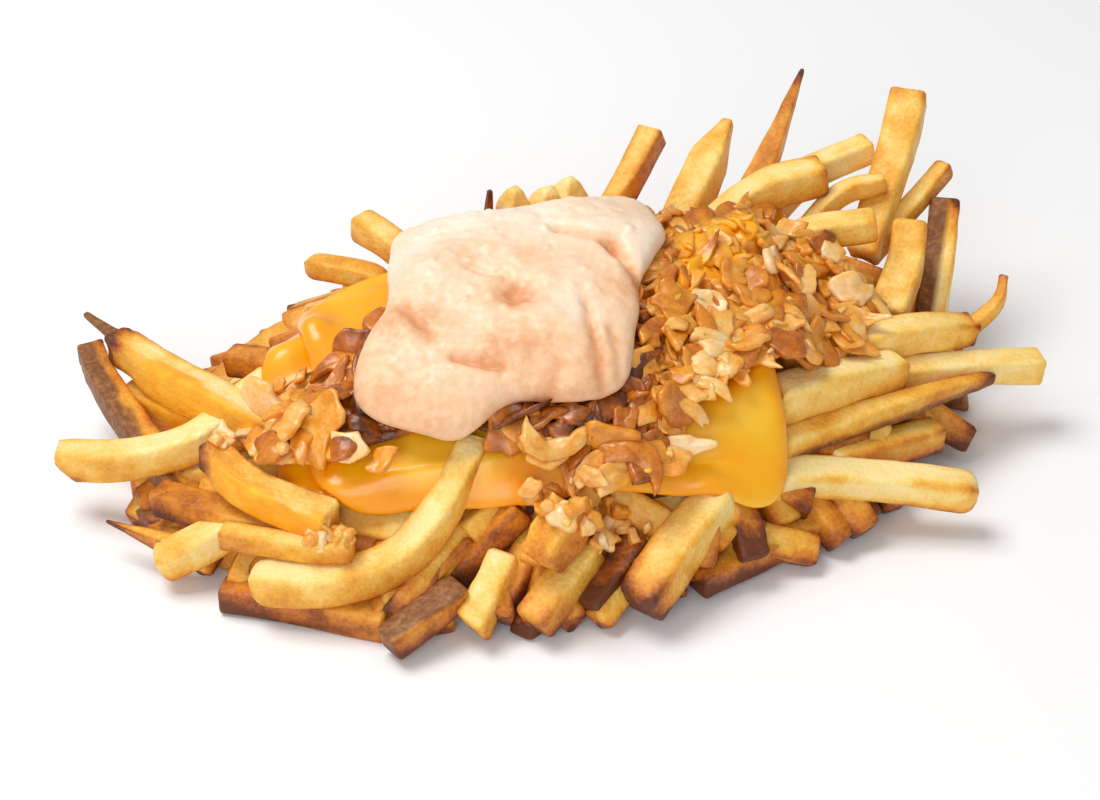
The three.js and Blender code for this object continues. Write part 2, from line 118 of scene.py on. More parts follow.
def lumps(points, size, seed=0):
    """Smooth noise from -1 to 1 at points, with lumps about size across."""
    scaled = np.asarray(points, float) / size + 17.3 * seed + 100
    cell = np.floor(scaled).astype(np.int64)
    part = scaled - cell
    ease = part * part * (3 - 2 * part)
    total = np.zeros(scaled.shape[:-1])
    for corner in product((0, 1), repeat=3):
        at = cell + np.array(corner)
        key = (at[..., 0] * 73856093) ^ (at[..., 1] * 19349663) ^ (at[..., 2] * 83492791)
        key = ((key ^ (key >> 13)) * 1274126177) & 0x7FFFFFFF
        key = ((key ^ (key >> 15)) * 461845907) & 0x7FFFFFFF
        weight = np.prod(np.where(corner, ease, 1 - ease), axis=-1)
        total += weight * (key / 0x7FFFFFFF * 2 - 1)
    return total


def ellipse_share(x, y, ellipse):
    """How far out a point of the plan lies in an ellipse: 0 at its centre and 1 at its edge."""
    dx, dy = x - ellipse["x"], y - ellipse["y"]
    cos, sin = math.cos(ellipse["turn"]), math.sin(ellipse["turn"])
    along, across = dx * cos + dy * sin, dy * cos - dx * sin
    return np.hypot(along / ellipse["half_length"], across / ellipse["half_width"])


def ellipse_point(share, angle, ellipse):
    along = ellipse["half_length"] * share * np.cos(angle)
    across = ellipse["half_width"] * share * np.sin(angle)
    cos, sin = math.cos(ellipse["turn"]), math.sin(ellipse["turn"])
    return ellipse["x"] + along * cos - across * sin, ellipse["y"] + along * sin + across * cos


def bed_height(x, y):
    """Height of the surface that the uppermost fries reach and the toppings lie on."""
    share = ellipse_share(x, y, HEAP)
    dome = HEAP_HEIGHT * np.maximum(0, 1 - share**HEAP_ROUNDNESS)
    away = ((x - SHOULDER["x"]) / SHOULDER["reach_x"]) ** 2 + ((y - SHOULDER["y"]) / SHOULDER["reach_y"]) ** 2
    return dome + SHOULDER["rise"] * np.exp(-away)


# MESHES


def wrapped_faces(rings, sides):
    """Faces over a first pole, rings of points that run once round, and a last pole."""
    steps = np.arange(sides)
    after = (steps + 1) % sides
    faces = [(0, 1 + b, 1 + a) for a, b in zip(steps, after)]
    for ring in range(rings - 1):
        low = 1 + ring * sides
        high = low + sides
        faces += [(low + a, low + b, high + b, high + a) for a, b in zip(steps, after)]
    last = 1 + (rings - 1) * sides
    pole = 1 + rings * sides
    return faces + [(pole, last + a, last + b) for a, b in zip(steps, after)]


class Pile:
    """Pieces gathered into one mesh, with values for its material at every point."""

    def __init__(self, *looks):
        self.looks = {name: [] for name in looks}
        self.points = []
        self.faces = []
        self.count = 0

    def add(self, points, faces, **looks):
        start = self.count
        self.points.append(points)
        self.faces += [tuple(start + corner for corner in face) for face in faces]
        for name, values in self.looks.items():
            values.append(np.broadcast_to(looks[name], len(points)))
        self.count += len(points)

    def tree(self):
        return BVHTree.FromPolygons(np.concatenate(self.points).tolist(), self.faces)

    def build(self, name, material, slot, *nodes):
        """The finished piece in metres, riding on the heap's one body."""
        points = np.concatenate(self.points) - np.array([0, OUTLINE_MIDDLE_Y, 0])
        low, high = (np.array(corner) / MM for corner in cad_box)
        points = np.clip(points, low, high) * MM
        mesh = bpy.data.meshes.new(name)
        mesh.from_pydata(points.tolist(), [], self.faces)
        for look, values in self.looks.items():
            layer = mesh.attributes.new(look, "FLOAT", "POINT")
            layer.data.foreach_set("value", np.concatenate(values).astype(np.float32))
        mesh.shade_smooth()
        mesh.materials.append(material)
        piece = bpy.data.objects.new(name, mesh)
        bpy.context.scene.collection.objects.link(piece)
        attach(piece, "root")
        if nodes:
            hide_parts(*nodes)


# FRIES


def eased_curve(padded, at, spans):
    """Points and slopes at places along an eased curve whose spans lie between the padding points."""
    span = np.minimum(at.astype(int), spans - 1)
    t = (at - span)[:, None]
    before, start, end, after = (padded[span + step] for step in range(4))
    leave, arrive = (end - before) / 2, (after - start) / 2
    bend = 2 * start - 2 * end + leave + arrive
    sweep = -3 * start + 3 * end - 2 * leave - arrive
    return bend * t**3 + sweep * t**2 + leave * t + start, 3 * bend * t**2 + 2 * sweep * t + leave


def curve_point(path, share):
    """Points and directions at shares of the way along an eased curve through a path."""
    path = np.asarray(path, float)
    spans = len(path) - 1
    padded = np.vstack([2 * path[0] - path[1], path, 2 * path[-1] - path[-2]])
    points, headings = eased_curve(padded, np.clip(share, 0, 1) * spans, spans)
    return points, headings / np.linalg.norm(headings, axis=1)[:, None]


# Where the points of a fry's section lie round it, in degrees from the middle of a face: close together
# at its corners.
FINE_SECTION = (0, 22, 36, 45, 54, 68)
COARSE_SECTION = (0, 33, 45, 57)


SQUARENESS = 7


def rounded_square(angles):
    """How far the edge of a square with rounded corners is from its middle."""
    total = np.abs(np.cos(angles)) ** SQUARENESS + np.abs(np.sin(angles)) ** SQUARENESS
    return total ** (-1 / SQUARENESS)


def section_angles(steps):
    return np.radians([quarter + step for quarter in (0, 90, 180, 270) for step in steps])


def fry_piece(path, width, roll=0, tip=1, taper=0.75, slant=(0, 0), end="cut", tone=0.3, burnt=0.2, skin=None,
              coat=None, inner=1, fine=True, seed=0):
    """A fry along a path from its outer end. Tone is from 0, very pale, to 1, brown; burnt is how brown the
    outer end is; skin and coat are the side that wears potato skin or a run of cheese, with its share.
    Slant is how far the end's cut leans across and upright; inner is how wide the inner end is."""
    rng = np.random.default_rng(seed)
    angles = section_angles(FINE_SECTION if fine else COARSE_SECTION)
    sides = len(angles)
    coarse, _ = curve_point(path, np.linspace(0, 1, 40))
    length = np.linalg.norm(np.diff(coarse, axis=0), axis=1).sum()
    rounding = width * (0.42 if end == "round" else 0.14)
    body_rings = max(6, int(length / (1.5 if fine else 3.2)))
    face_steps = (0.35, 0.7) if fine else (0.5,)
    turns = np.linspace(0, math.pi / 2, 6 if fine else 3)
    inset = [(1 - math.sin(turn), 1 - math.cos(turn)) for turn in turns]
    stations = length * np.linspace(0, 1, body_rings + 1)[1:-1]
    narrow = width * tip
    share_at_edge = 1 - 2 * min(rounding, narrow * 0.45) / narrow
    rows = [(0.0, share * share_at_edge) for share in face_steps]
    rows += [(rounding * out, mix(share_at_edge, 1, 1 - back)) for back, out in inset]
    rows += [(station, 1.0) for station in stations if station > rounding * 1.3]
    rows += [(length - 0.6, 1.0), (length, 0.86)]
    along = np.array([row[0] for row in rows])
    size = np.array([row[1] for row in rows])

    points, headings = curve_point(path, along / length)
    side = np.cross([0, 0, 1], headings)
    side /= np.linalg.norm(side, axis=1)[:, None]
    up = np.cross(headings, side)
    twist = np.radians(roll + rng.uniform(-9, 9) * along / 30)[:, None]
    side, up = side * np.cos(twist) + up * np.sin(twist), up * np.cos(twist) - side * np.sin(twist)

    narrowed = mix(tip, 1, np.minimum(1, along / length / taper))
    narrowed = narrowed * mix(1, inner, smooth(along / length, 0.4, 1))
    swell = 1 + 0.07 * np.sin(along / rng.uniform(6, 14) + rng.uniform(0, 6))
    half = width / 2 * narrowed * size * swell
    flat = rng.uniform(0.9, 1.08)
    radius = rounded_square(angles)
    corner = np.exp(-(((np.degrees(angles) % 90 - 45) / 13) ** 2))
    radius = radius * (0.96 + 0.04 * corner)
    across = half[:, None] * radius * np.cos(angles)
    high = half[:, None] * radius * np.sin(angles) * flat
    shear = (slant[0] * across + slant[1] * high) * np.maximum(0, 1 - along / (2.2 * width))[:, None]
    outward = side[:, None] * np.cos(angles)[:, None] + up[:, None] * np.sin(angles)[:, None]
    shape = points[:, None] + side[:, None] * across[..., None] + up[:, None] * high[..., None]
    shape = shape + headings[:, None] * shear[..., None]

    drift = seed * 3.1
    worn = np.clip(size, 0, 1)[:, None]
    rough = 0.028 * width * lumps(shape + drift, 6) + 0.014 * width * lumps(shape + drift, 2.2)
    if end == "rough":
        rough = rough + 0.09 * width * lumps(shape, 2.4, 5) * np.exp(-along / (1.2 * width))[:, None]

    patch = lumps(shape + drift, 9, 2) + 0.5 * lumps(shape, 3.5, 3)
    wears = np.zeros(shape.shape[:2])
    if skin:
        direction, share = skin
        facing = outward @ (np.array(direction) / np.linalg.norm(direction))
        wears = smooth(facing + 0.22 * patch, 0.72 - share * 0.5, 0.86 - share * 0.5)
        rough = rough + wears * (0.16 * lumps(shape, 1.3, 7) + 0.1)
    coated = np.zeros(shape.shape[:2])
    if coat:
        direction, share = coat
        facing = outward @ (np.array(direction) / np.linalg.norm(direction))
        reach = smooth(along / length, 0.12, 0.3)[:, None]
        coated = reach * smooth(facing + 0.3 * patch, 0.6 - share, 0.8 - share)
        rough = rough + 0.7 * coated
    shape = shape + outward * (rough * worn)[..., None]

    face_tones = rng.uniform(-0.16, 0.16, 4)[np.round(np.degrees(angles) / 90).astype(int) % 4]
    near_end = np.exp(-along / (0.55 * width))[:, None]
    # Painted light and shade: the last term makes faces that look upwards paler and faces that look sideways
    # or downwards browner, on top of the potato's own browning.
    bake = 0.85 * tone + face_tones * (1 - corner) + 0.14 * patch + 0.14 * (0.3 - outward[..., 2])
    bake = bake + corner * 0.24 * np.clip(0.5 + lumps(shape + drift, 7, 4), 0, 1)
    bake = bake + burnt * near_end * (0.65 + 0.35 * corner)
    bake = bake + 0.3 * burnt * np.exp(-along / (2.4 * width))[:, None]
    # Painted shade: the fries are made browner low down, within 13 mm of the table, as shade at the foot of
    # the heap.
    bake = bake + 0.2 * (1 - smooth(shape[..., 2], 1, 13))

    vertices = np.vstack([points[:1], shape.reshape(-1, 3), points[-1:]])
    vertices[:, 2] = np.maximum(vertices[:, 2], 0)
    looks = {"bake": bake, "skin": wears, "coat": coated}
    ends = {name: (values[0].mean(), values[-1].mean()) for name, values in looks.items()}
    for name, (outer_look, inner_look) in ends.items():
        looks[name] = np.concatenate([[outer_look], looks[name].ravel(), [inner_look]])
    return vertices, wrapped_faces(len(rows), sides), looks


UP, LEFT = (0, 0, 1), (-1, 0, 0)

# The fries that are placed by the photograph, from the outer end inwards. Those called hidden are a guess,
# in the dark under the crumbs; the dark tones of most of them, and of front_shade, left_block and base_left,
# are painted shade. Each point of a path is a column and a row of the photograph and a height over the table.
# A root is the place in plan where a hidden inner end dips into the bed.
SHOWN_FRIES = {
    # The left end of the heap.
    "left_long": {
        "path": [(64, 461, 11), (130, 459, 14), (198, 440, 18), (256, 392, 23), (325, 345, 28)],
        "width": 5.6, "slant": (0, -0.8), "tone": 0.2, "burnt": 0.25,
    },
    "left_dark": {
        "path": [(90, 350, 16), (108, 388, 15), (150, 450, 12), (190, 500, 9)],
        "width": 5.4, "tone": 0.6, "burnt": 0.3, "skin": ((-1, -0.6, 0.5), 1), "end": "rough",
    },
    "left_rough": {
        "path": [(118, 343, 20), (170, 378, 21), (235, 412, 22), (290, 440, 21)],
        "width": 6.4, "tone": 0.18, "burnt": 1.1, "end": "rough", "coat": ((-0.3, -1, 0.1), 0.4),
    },
    "left_under": {
        "path": [(128, 395, 12), (215, 425, 15), (280, 455, 14)],
        "width": 6.6, "tone": 0.5, "coat": ((-0.2, -0.7, 0.7), 1),
    },
    "left_flake": {
        "path": [(85, 314, 21), (130, 347, 20)],
        "width": 2.4, "tip": 0.4, "tone": 0.7, "skin": (UP, 2), "end": "rough",
    },
    "left_stub": {"path": [(230, 360, 24), (300, 368, 27)], "width": 5, "tone": 0.62, "burnt": 0.2},
    "upper_left_low": {
        "path": [(306, 264, 25), (370, 277, 26)],
        "width": 4.8, "root": (-34, 16), "end": "round", "tone": 0.4,
    },
    "upper_left_high": {
        "path": [(356, 222, 30), (390, 243, 29)], "width": 5, "root": (-25, 20), "end": "round", "tone": 0.35,
    },
    "left_skin": {
        "path": [(210, 450, 22), (250, 487, 20), (332, 522, 18)],
        "width": 5.8, "tone": 0.25, "burnt": 0.8, "coat": ((-0.6, -1, -0.2), 0.3), "end": "rough",
    },
    "left_thorn": {
        "path": [(106, 521, 7), (190, 552, 7)], "width": 3.4, "tip": 0.15, "tone": 0.5, "burnt": 1,
    },
    "left_fat": {
        "path": [(156, 564, 5), (200, 545, 8), (255, 512, 12)],
        "width": 7, "end": "round", "tone": 0.12, "burnt": 0.15,
    },
    "left_thin": {"path": [(222, 535, 13), (300, 547, 14), (352, 550, 15)], "width": 4, "tone": 0.45},
    "left_block": {"path": [(158, 497, 10), (240, 520, 12), (300, 530, 12)], "width": 6, "tone": 0.55},
    "base_left": {
        "path": [(222, 594, 3), (300, 606, 3), (388, 622, 3)],
        "width": 5.4, "tone": 0.55, "burnt": 0.3, "skin": (LEFT, 0.3),
    },
    # The front, where the ends point at the viewer.
    "bent": {
        "path": [
            (250, 580, 8), (330, 583, 9), (398, 560, 12), (440, 512, 19), (466, 462, 26), (474, 440, 28),
        ],
        "width": 7, "tone": 0.34, "burnt": 0, "end": "round", "inner": 0.75,
    },
    "front_skin": {
        "path": [(388, 645, 4), (462, 590, 8)], "width": 5.2, "tone": 0.5, "skin": ((-0.5, -0.2, 1), 0.5),
    },
    "front_a": {
        "path": [(472, 628, 4), (506, 556, 11)], "width": 6, "tone": 0.32, "burnt": 0.1, "slant": (0.3, 0),
        "end": "rough",
    },
    "front_b": {"path": [(533, 625, 4), (590, 545, 12)], "width": 6.2, "tone": 0.4, "burnt": 0.1},
    "front_shade": {"path": [(588, 610, 4), (640, 540, 11)], "width": 5, "tone": 0.95},
    "front_big": {
        "path": [(640, 606, 6), (676, 552, 11)],
        "width": 7.6, "root": (28, -37), "tone": 0.3, "burnt": 0.7, "skin": ((-0.6, -1, -0.2), 0.3),
    },
    "front_dark_end": {
        "path": [(754, 560, 6), (740, 518, 11)],
        "width": 6, "root": (27, -37), "tone": 0.15, "burnt": 1.6, "end": "rough",
    },
    "front_hidden_a": {
        "path": [(540, 562, 14), (574, 506, 22)], "width": 7, "tone": 0.5, "burnt": 0.1, "end": "rough",
    },
    "front_hidden_b": {"path": [(566, 596, 5), (600, 530, 14)], "width": 5, "tone": 0.9, "end": "rough"},
    "front_hidden_d": {"path": [(455, 575, 7), (520, 508, 18)], "width": 5.6, "tone": 0.75},
    "front_hidden_e": {"path": [(505, 600, 5), (545, 520, 14)], "width": 5.4, "tone": 0.7},
    "front_hidden_f": {"path": [(700, 566, 6), (708, 505, 15)], "width": 5.6, "tone": 0.65},
    "front_hidden_g": {"path": [(400, 606, 4), (470, 540, 12)], "width": 5.4, "tone": 0.7},
    "base_right": {"path": [(696, 582, 4), (770, 546, 4), (864, 498, 4)], "width": 6.2, "tone": 0.6},
    # The right end.
    "right_long": {
        "path": [(978, 493, 9), (880, 481, 11), (790, 478, 13)],
        "width": 6.8, "root": (26, -36), "end": "round", "tone": 0.15, "burnt": 0.25,
    },
    "right_taper": {
        "path": [(994, 376, 15), (900, 405, 17), (790, 441, 18)],
        "width": 6.6, "tip": 0.3, "root": (26, -33), "tone": 0.3, "burnt": 0.75, "skin": ((0.4, 0, -1), 0.5),
    },
    "right_fat": {
        "path": [(898, 370, 20), (840, 382, 23), (775, 402, 24)],
        "width": 7.2, "root": (28, -27), "tone": 0.15, "burnt": 0.35,
    },
    "right_blunt": {"path": [(1040, 366, 14), (960, 368, 16), (850, 378, 19)], "width": 5.6, "tone": 0.05},
    "right_rough": {
        "path": [(972, 330, 20), (910, 334, 23)], "width": 6, "root": (42, -8), "tone": 0.22, "burnt": 0.7,
        "end": "rough",
    },
    "right_curl": {
        "path": [(1004, 275, 29), (997, 303, 24), (970, 328, 20)],
        "width": 2.6, "tip": 0.6, "tone": 0.45, "burnt": 0.4,
    },
    "right_under": {"path": [(938, 434, 9), (830, 465, 12)], "width": 5.6, "tone": 0.6, "burnt": 0.3},
    # The back of the right end, where the ends stand up.
    "back_broad": {"path": [(910, 222, 33), (905, 265, 27)], "width": 7, "root": (62, 10), "tone": 0.3},
    "back_knob": {
        "path": [(945, 200, 30), (940, 255, 22), (930, 320, 15)],
        "width": 5.8, "tone": 0.15, "skin": ((-0.8, -0.3, 0.5), 0.5), "end": "rough", "burnt": 0.9,
    },
    "back_small": {
        "path": [(948, 165, 35)], "width": 4, "root": (60, 28), "end": "round", "tone": 0.4, "burnt": 0.35,
    },
    "back_tall": {
        "path": [(909, 95, 46), (896, 150, 39)], "width": 7, "root": (59, 27), "tone": 0.25, "burnt": 0.4,
    },
    "back_short": {"path": [(876, 224, 36), (810, 234, 34)], "width": 6, "root": (42, 20), "tone": 0.15},
    "back_long": {
        "path": [(824, 176, 38), (760, 194, 36)], "width": 6.2, "root": (24, 25), "tone": 0.1, "burnt": 0.5,
        "end": "rough",
    },
    "back_wide": {"path": [(870, 147, 38), (800, 180, 34)], "width": 5.4, "root": (36, 32), "tone": 0.1},
    "back_bit": {"path": [(885, 183, 37), (840, 195, 35)], "width": 3.4, "root": (46, 28), "tone": 0.2},
    "back_spike": {
        "path": [(803, 69, 46), (775, 140, 39)], "width": 5.6, "tip": 0.15, "root": (34, 33), "tone": 0.62,
        "burnt": 0.9,
    },
    "back_point": {
        "path": [(729, 120, 42), (704, 172, 36)],
        "width": 7, "tip": 0.3, "taper": 0.4, "root": (22, 31), "tone": 0.22, "burnt": 0.2,
    },
    "back_brown": {
        "path": [(653, 133, 39), (628, 182, 33)], "width": 5.2, "root": (5, 34), "tone": 0.55, "burnt": 0.1,
    },
    "peek_dark": {"path": [(490, 190, 36)], "width": 2.8, "tip": 0.3, "root": (-15, 35), "tone": 0.9},
    "peek_left": {
        "path": [(516, 188, 36)], "width": 5.4, "tip": 0.35, "taper": 0.2, "root": (-11, 36), "tone": 0,
        "burnt": 0,
    },
    "peek_step": {
        "path": [(549, 189, 36)], "width": 6, "tip": 0.4, "taper": 0.2, "root": (-4, 37), "tone": 0,
        "burnt": 0,
    },
    "peek_right": {
        "path": [(571, 178, 37)], "width": 7.6, "tip": 0.3, "taper": 0.25, "root": (0, 38), "tone": 0,
        "burnt": 0,
    },
}
ROOT_DEPTH = 4


def shown_path(fry):
    path = [placed(*point) for point in fry["path"]]
    if "root" in fry:
        x, y = fry["root"]
        path.append(np.array([x, y, bed_height(x, y) - ROOT_DEPTH]))
    return path


# The fries that show only in part or not at all, as the part draws them.
LOOSE_FRIES = 40
BASE_FRIES = 16
SLOPING = {"middle": (0.6, 0.84), "length": (40, 66), "spread": math.radians(50)}
LYING = {"middle": (0.78, 0.78), "length": (28, 44), "spread": math.radians(75)}
SUNK_IN_FRONT = (4, 8)
SUNK_BEHIND = (2, 5)
EDGE_IN_FRONT = 0.88
EDGE_BEHIND = 0.98
EDGE_DRAWN_IN = 0.09


def loose_fry(index, draw, kind):
    """Centreline, width and roll of a fry on the slope, or of one on the table round the heap's foot."""
    def between(limits):
        return mix(*limits, draw())

    golden_angle = math.pi * (3 - math.sqrt(5))
    middle = ellipse_point(between(kind["middle"]), index * golden_angle, HEAP)
    outwards = math.atan2(middle[1] - HEAP["y"], middle[0] - HEAP["x"])
    heading = outwards + kind["spread"] * (2 * draw() - 1)
    half = between(kind["length"]) / 2
    width = FRY_WIDTH * mix(0.8, 1.08, draw())
    behind = 1 - smooth(abs(outwards - math.radians(75)), 0.9, 1.45)
    sunk = mix(between(SUNK_IN_FRONT), between(SUNK_BEHIND), behind)
    front_right = smooth(math.cos(outwards + math.pi / 6), 0.5, 1)
    edge = mix(EDGE_IN_FRONT, EDGE_BEHIND, behind) - EDGE_DRAWN_IN * front_right

    def at(along):
        return middle[0] + along * math.cos(heading), middle[1] + along * math.sin(heading)

    inwards = 0
    while ellipse_share(*at(half - inwards), HEAP) > edge:
        inwards += 1

    def end(along):
        x, y = at(along - inwards)
        height = width / 2 if kind is LYING else max(bed_height(x, y) - sunk, width / 2)
        return np.array([x, y, height])

    roll = 0 if kind is LYING else 90 * draw()
    return [end(half), end(-half)], width, roll


def loose_fries():
    draw = random_from(7)
    sloping = [loose_fry(index, draw, SLOPING) for index in range(LOOSE_FRIES)]
    return sloping + [loose_fry(index, draw, LYING) for index in range(BASE_FRIES)]


def bowed(path, rng):
    """A straight path with its middle moved aside a little."""
    start, end = path
    middle = (start + end) / 2 + np.array([*rng.uniform(-1.6, 1.6, 2), rng.uniform(-0.4, 0.8)])
    return [start, middle, end]


# The fries that fill the gaps between those, and how many places are tried for each.
FRIES_BETWEEN = 110
TRIES_FOR_EACH = 6


def centreline(path):
    return curve_point(path, np.linspace(0, 1, 14))[0]


def crowd(path, width, others):
    """How deep a path comes into the nearest of the other fries, in millimetres."""
    points = centreline(path)
    deepest = -99
    for other, other_width in others:
        apart = np.linalg.norm(points[:, None] - other[None], axis=2).min()
        deepest = max(deepest, (width + other_width) / 2 - apart)
    return deepest


def fries_between(taken):
    """Fries that fill the heap between the others, each where it runs least into what is there."""
    rng = np.random.default_rng(12)
    found = []
    while len(found) < FRIES_BETWEEN:
        best = None
        behind_sauce = len(found) % 5 == 0
        for _ in range(TRIES_FOR_EACH):
            if behind_sauce:
                x, y = ellipse_point(rng.uniform(0.42, 0.6), rng.uniform(1, 2.3), HEAP)
            else:
                x, y = ellipse_point(rng.uniform(0.5, 0.9), rng.uniform(-math.pi, math.pi), HEAP)
            heading = math.atan2(y - HEAP["y"], x - HEAP["x"]) + rng.uniform(-1.1, 1.1)
            half = rng.uniform(14, 24)
            width = FRY_WIDTH * rng.uniform(0.78, 1.02)
            reach_x, reach_y = half * math.cos(heading), half * math.sin(heading)
            ends = [(x + reach_x, y + reach_y), (x - reach_x, y - reach_y)]
            if max(ellipse_share(*end, HEAP) for end in ends) > 0.9:
                continue
            sunk = rng.uniform(2, 5) if behind_sauce else rng.uniform(5, 10)
            path = [np.array([*end, max(bed_height(*end) - sunk, width / 2)]) for end in ends]
            path = bowed(path, rng)
            depth = crowd(path, width, taken)
            if best is None or depth < best[0]:
                best = (depth, path, width, 90 * rng.uniform())
        if best:
            _, path, width, roll = best
            taken.append((centreline(path), width))
            found.append((path, width, roll))
    return found


def fry_pile():
    pile = Pile("bake", "skin", "coat")
    bent = Pile("bake", "skin", "coat")
    rng = np.random.default_rng(4)
    taken = []
    for number, (name, fry) in enumerate(SHOWN_FRIES.items()):
        path = shown_path(fry)
        looks = {key: value for key, value in fry.items() if key not in ("path", "root")}
        points, faces, values = fry_piece(path, seed=number + 1, **looks)
        (bent if name == "bent" else pile).add(points, faces, **values)
        taken.append((centreline(path), fry["width"]))
    for number, (path, width, roll) in enumerate(loose_fries()):
        taken.append((centreline(path), width))
        skin = ((*rng.normal(size=2), 0.4), 0.5) if rng.uniform() < 0.25 else None
        tone, burnt = rng.uniform(0.15, 0.6), rng.uniform(0, 0.5)
        slant, tip = rng.uniform(-0.5, 0.5, 2), rng.uniform(0.65, 1)
        points, faces, values = fry_piece(bowed(path, rng), width, roll, tip, slant=slant, tone=tone,
                                          burnt=burnt, skin=skin, fine=False, seed=number + 60)
        pile.add(points, faces, **values)
    for number, (path, width, roll) in enumerate(fries_between(taken)):
        tone = rng.uniform(0.3, 0.75)
        points, faces, values = fry_piece(path, width, roll, tone=tone, fine=False, seed=number + 150)
        pile.add(points, faces, **values)
    return pile, bent


# LAYERS


def eased_loop(points, count):
    """Points of a closed eased curve in plan through a few points."""
    padded = np.array([*points[-1:], *points, *points[:2]], float)
    return eased_curve(padded, np.arange(count) / count * len(points), len(points))[0]


class Outline:
    """A closed curve in plan round a middle."""

    def __init__(self, middle, curve):
        self.middle = middle
        angles = np.arctan2(curve[:, 1] - middle[1], curve[:, 0] - middle[0])
        order = np.argsort(angles)
        self.angles = angles[order]
        self.distances = np.hypot(curve[:, 0] - middle[0], curve[:, 1] - middle[1])[order]

    def reach(self, angle):
        return np.interp(angle, self.angles, self.distances, period=2 * math.pi)

    def share(self, x, y):
        """How far out a point lies: 1 at the curve."""
        dx, dy = x - self.middle[0], y - self.middle[1]
        return np.hypot(dx, dy) / self.reach(np.arctan2(dy, dx))


def layer_shape(outline, rings, sides, underside, top):
    """A closed body between two heights. Each ring is a share of the way out, millimetres in from there, and
    a share of the way from the underside to the top."""
    angles = np.linspace(-math.pi, math.pi, sides, endpoint=False)
    far = outline.reach(angles)
    shape = []
    for out, inset, rise in [(0, 0, 0), *rings, (0, 0, 1)]:
        radius = np.maximum(far * out - inset, 0)
        x = outline.middle[0] + radius * np.cos(angles)
        y = outline.middle[1] + radius * np.sin(angles)
        shape.append(np.stack([x, y, mix(underside(x, y), top(x, y), rise)], axis=1))
    return np.vstack([shape[0][:1], *shape[1:-1], shape[-1][:1]]), wrapped_faces(len(rings), sides)


RIM_RINGS = 9


def pad_rings(count, round_over):
    """Rings of a pad with a flat underside, a rounded rim and a top."""
    shares = np.linspace(0, 1, count + 1)[1:-1]
    tilt = np.linspace(-math.pi / 2, math.pi / 2, RIM_RINGS)
    rim = [(1, round_over * (1 - math.cos(t)), 0.5 + 0.5 * math.sin(t)) for t in tilt]
    return [(s, round_over * s, 0) for s in shares] + rim + [(s, round_over * s, 1) for s in shares[::-1]]


def flat(x, y):
    """Points of the plan as points of space for the lumps."""
    return np.stack([x, y, np.zeros_like(x)], axis=-1)


class HeightMap:
    """Heights over a square grid in plan, read between its points."""
    STEP = 1.5
    REACH = 96

    def __init__(self, height):
        line = np.arange(-self.REACH, self.REACH + self.STEP, self.STEP)
        self.x, self.y = np.meshgrid(line, line, indexing="ij")
        self.values = height(self.x, self.y)

    def softened(self, times):
        for _ in range(times):
            padded = np.pad(self.values, 1, mode="edge")
            self.values = (
                padded[:-2, 1:-1] + padded[2:, 1:-1] + padded[1:-1, :-2] + padded[1:-1, 2:] + 2 * self.values
            ) / 6
        return self

    def __call__(self, x, y):
        column = np.clip((x + self.REACH) / self.STEP, 0, len(self.values) - 1.001)
        row = np.clip((y + self.REACH) / self.STEP, 0, len(self.values) - 1.001)
        i, j = column.astype(int), row.astype(int)
        a, b = column - i, row - j
        near = mix(self.values[i, j], self.values[i + 1, j], a)
        far = mix(self.values[i, j + 1], self.values[i + 1, j + 1], a)
        return mix(near, far, b)


def draped_bed(tree):
    """The bed as the cheese finds it, raised over the fries' tops and sunk a little between them."""
    def top_of_fries(x, y):
        bed = bed_height(x, y)
        found = np.array([
            tree.ray_cast(Vector((a, b, 90)), Vector((0, 0, -1)))[0] for a, b in zip(x.ravel(), y.ravel())
        ], dtype=object)
        tops = np.array([hit.z if hit else -9 for hit in found]).reshape(x.shape)
        return np.clip(tops, bed - 2.2, bed + 0.9)

    return HeightMap(top_of_fries).softened(3)


def press_down(pile, regions):
    """Lowers the points of the fries that reach up into a topping's underside."""
    points = np.concatenate(pile.points)
    for outline, underside in regions:
        x, y, z = points.T
        limit = np.where(outline.share(x, y) < 0.985, underside(x, y) - 0.1, np.inf)
        points[:, 2] = np.minimum(z, np.maximum(limit, 0))
    pile.points = [points]


# The inside of the heap, seen only down the gaps between the fries and coloured dark brown as painted shade,
# in place of
# shaded fries deeper in: how far out it reaches, and how deep it lies under the toppings and where the fries
# are bare.
CORE_SHARE = 0.66
CORE_DEPTH_COVERED, CORE_DEPTH_BARE = 4, 13


def core_height(x, y):
    bare = smooth(ellipse_share(x, y, COVERED), 0.85, 1.15)
    depth = mix(CORE_DEPTH_COVERED, CORE_DEPTH_BARE, bare)
    return np.maximum(bed_height(x, y) - depth, 1.5) + 1.2 * lumps(flat(x, y), 5)


def heap_core():
    pile = Pile()
    angles = np.linspace(0, 2 * math.pi, 720, endpoint=False)
    outline = Outline((HEAP["x"], HEAP["y"]), np.stack(ellipse_point(CORE_SHARE, angles, HEAP), axis=1))
    pile.add(*layer_shape(outline, pad_rings(40, 3), 180, lambda x, y: 0 * x, core_height))
    return pile


# CHEESE

BACK_SLICE = {"x": -7, "y": -16, "half_length": 45, "half_width": 22, "turn": math.radians(12)}
FRONT_SLICE = {"x": -4, "y": -13, "half_length": 42, "half_width": 31, "turn": math.radians(7)}


def slice_outline(slice_):
    """A rectangle whose corners have drawn in as it melted."""
    angle = np.linspace(0, 2 * math.pi, 1440, endpoint=False)
    wave = 1 + 0.025 * np.sin(7 * angle + 1)
    curve = np.stack(ellipse_point(wave * rounded_square(angle), angle, slice_), axis=1)
    return Outline((slice_["x"], slice_["y"]), curve)


BACK_EDGE = slice_outline(BACK_SLICE)
FRONT_EDGE = slice_outline(FRONT_SLICE)


def slice_lift(outline, x, y):
    """How far a slice lifts what lies over it, with an easy slope down past its edge."""
    return (SLICE_THICKNESS + 2 * GAP) * (1 - smooth(outline.share(x, y), 1.03, 1.2))


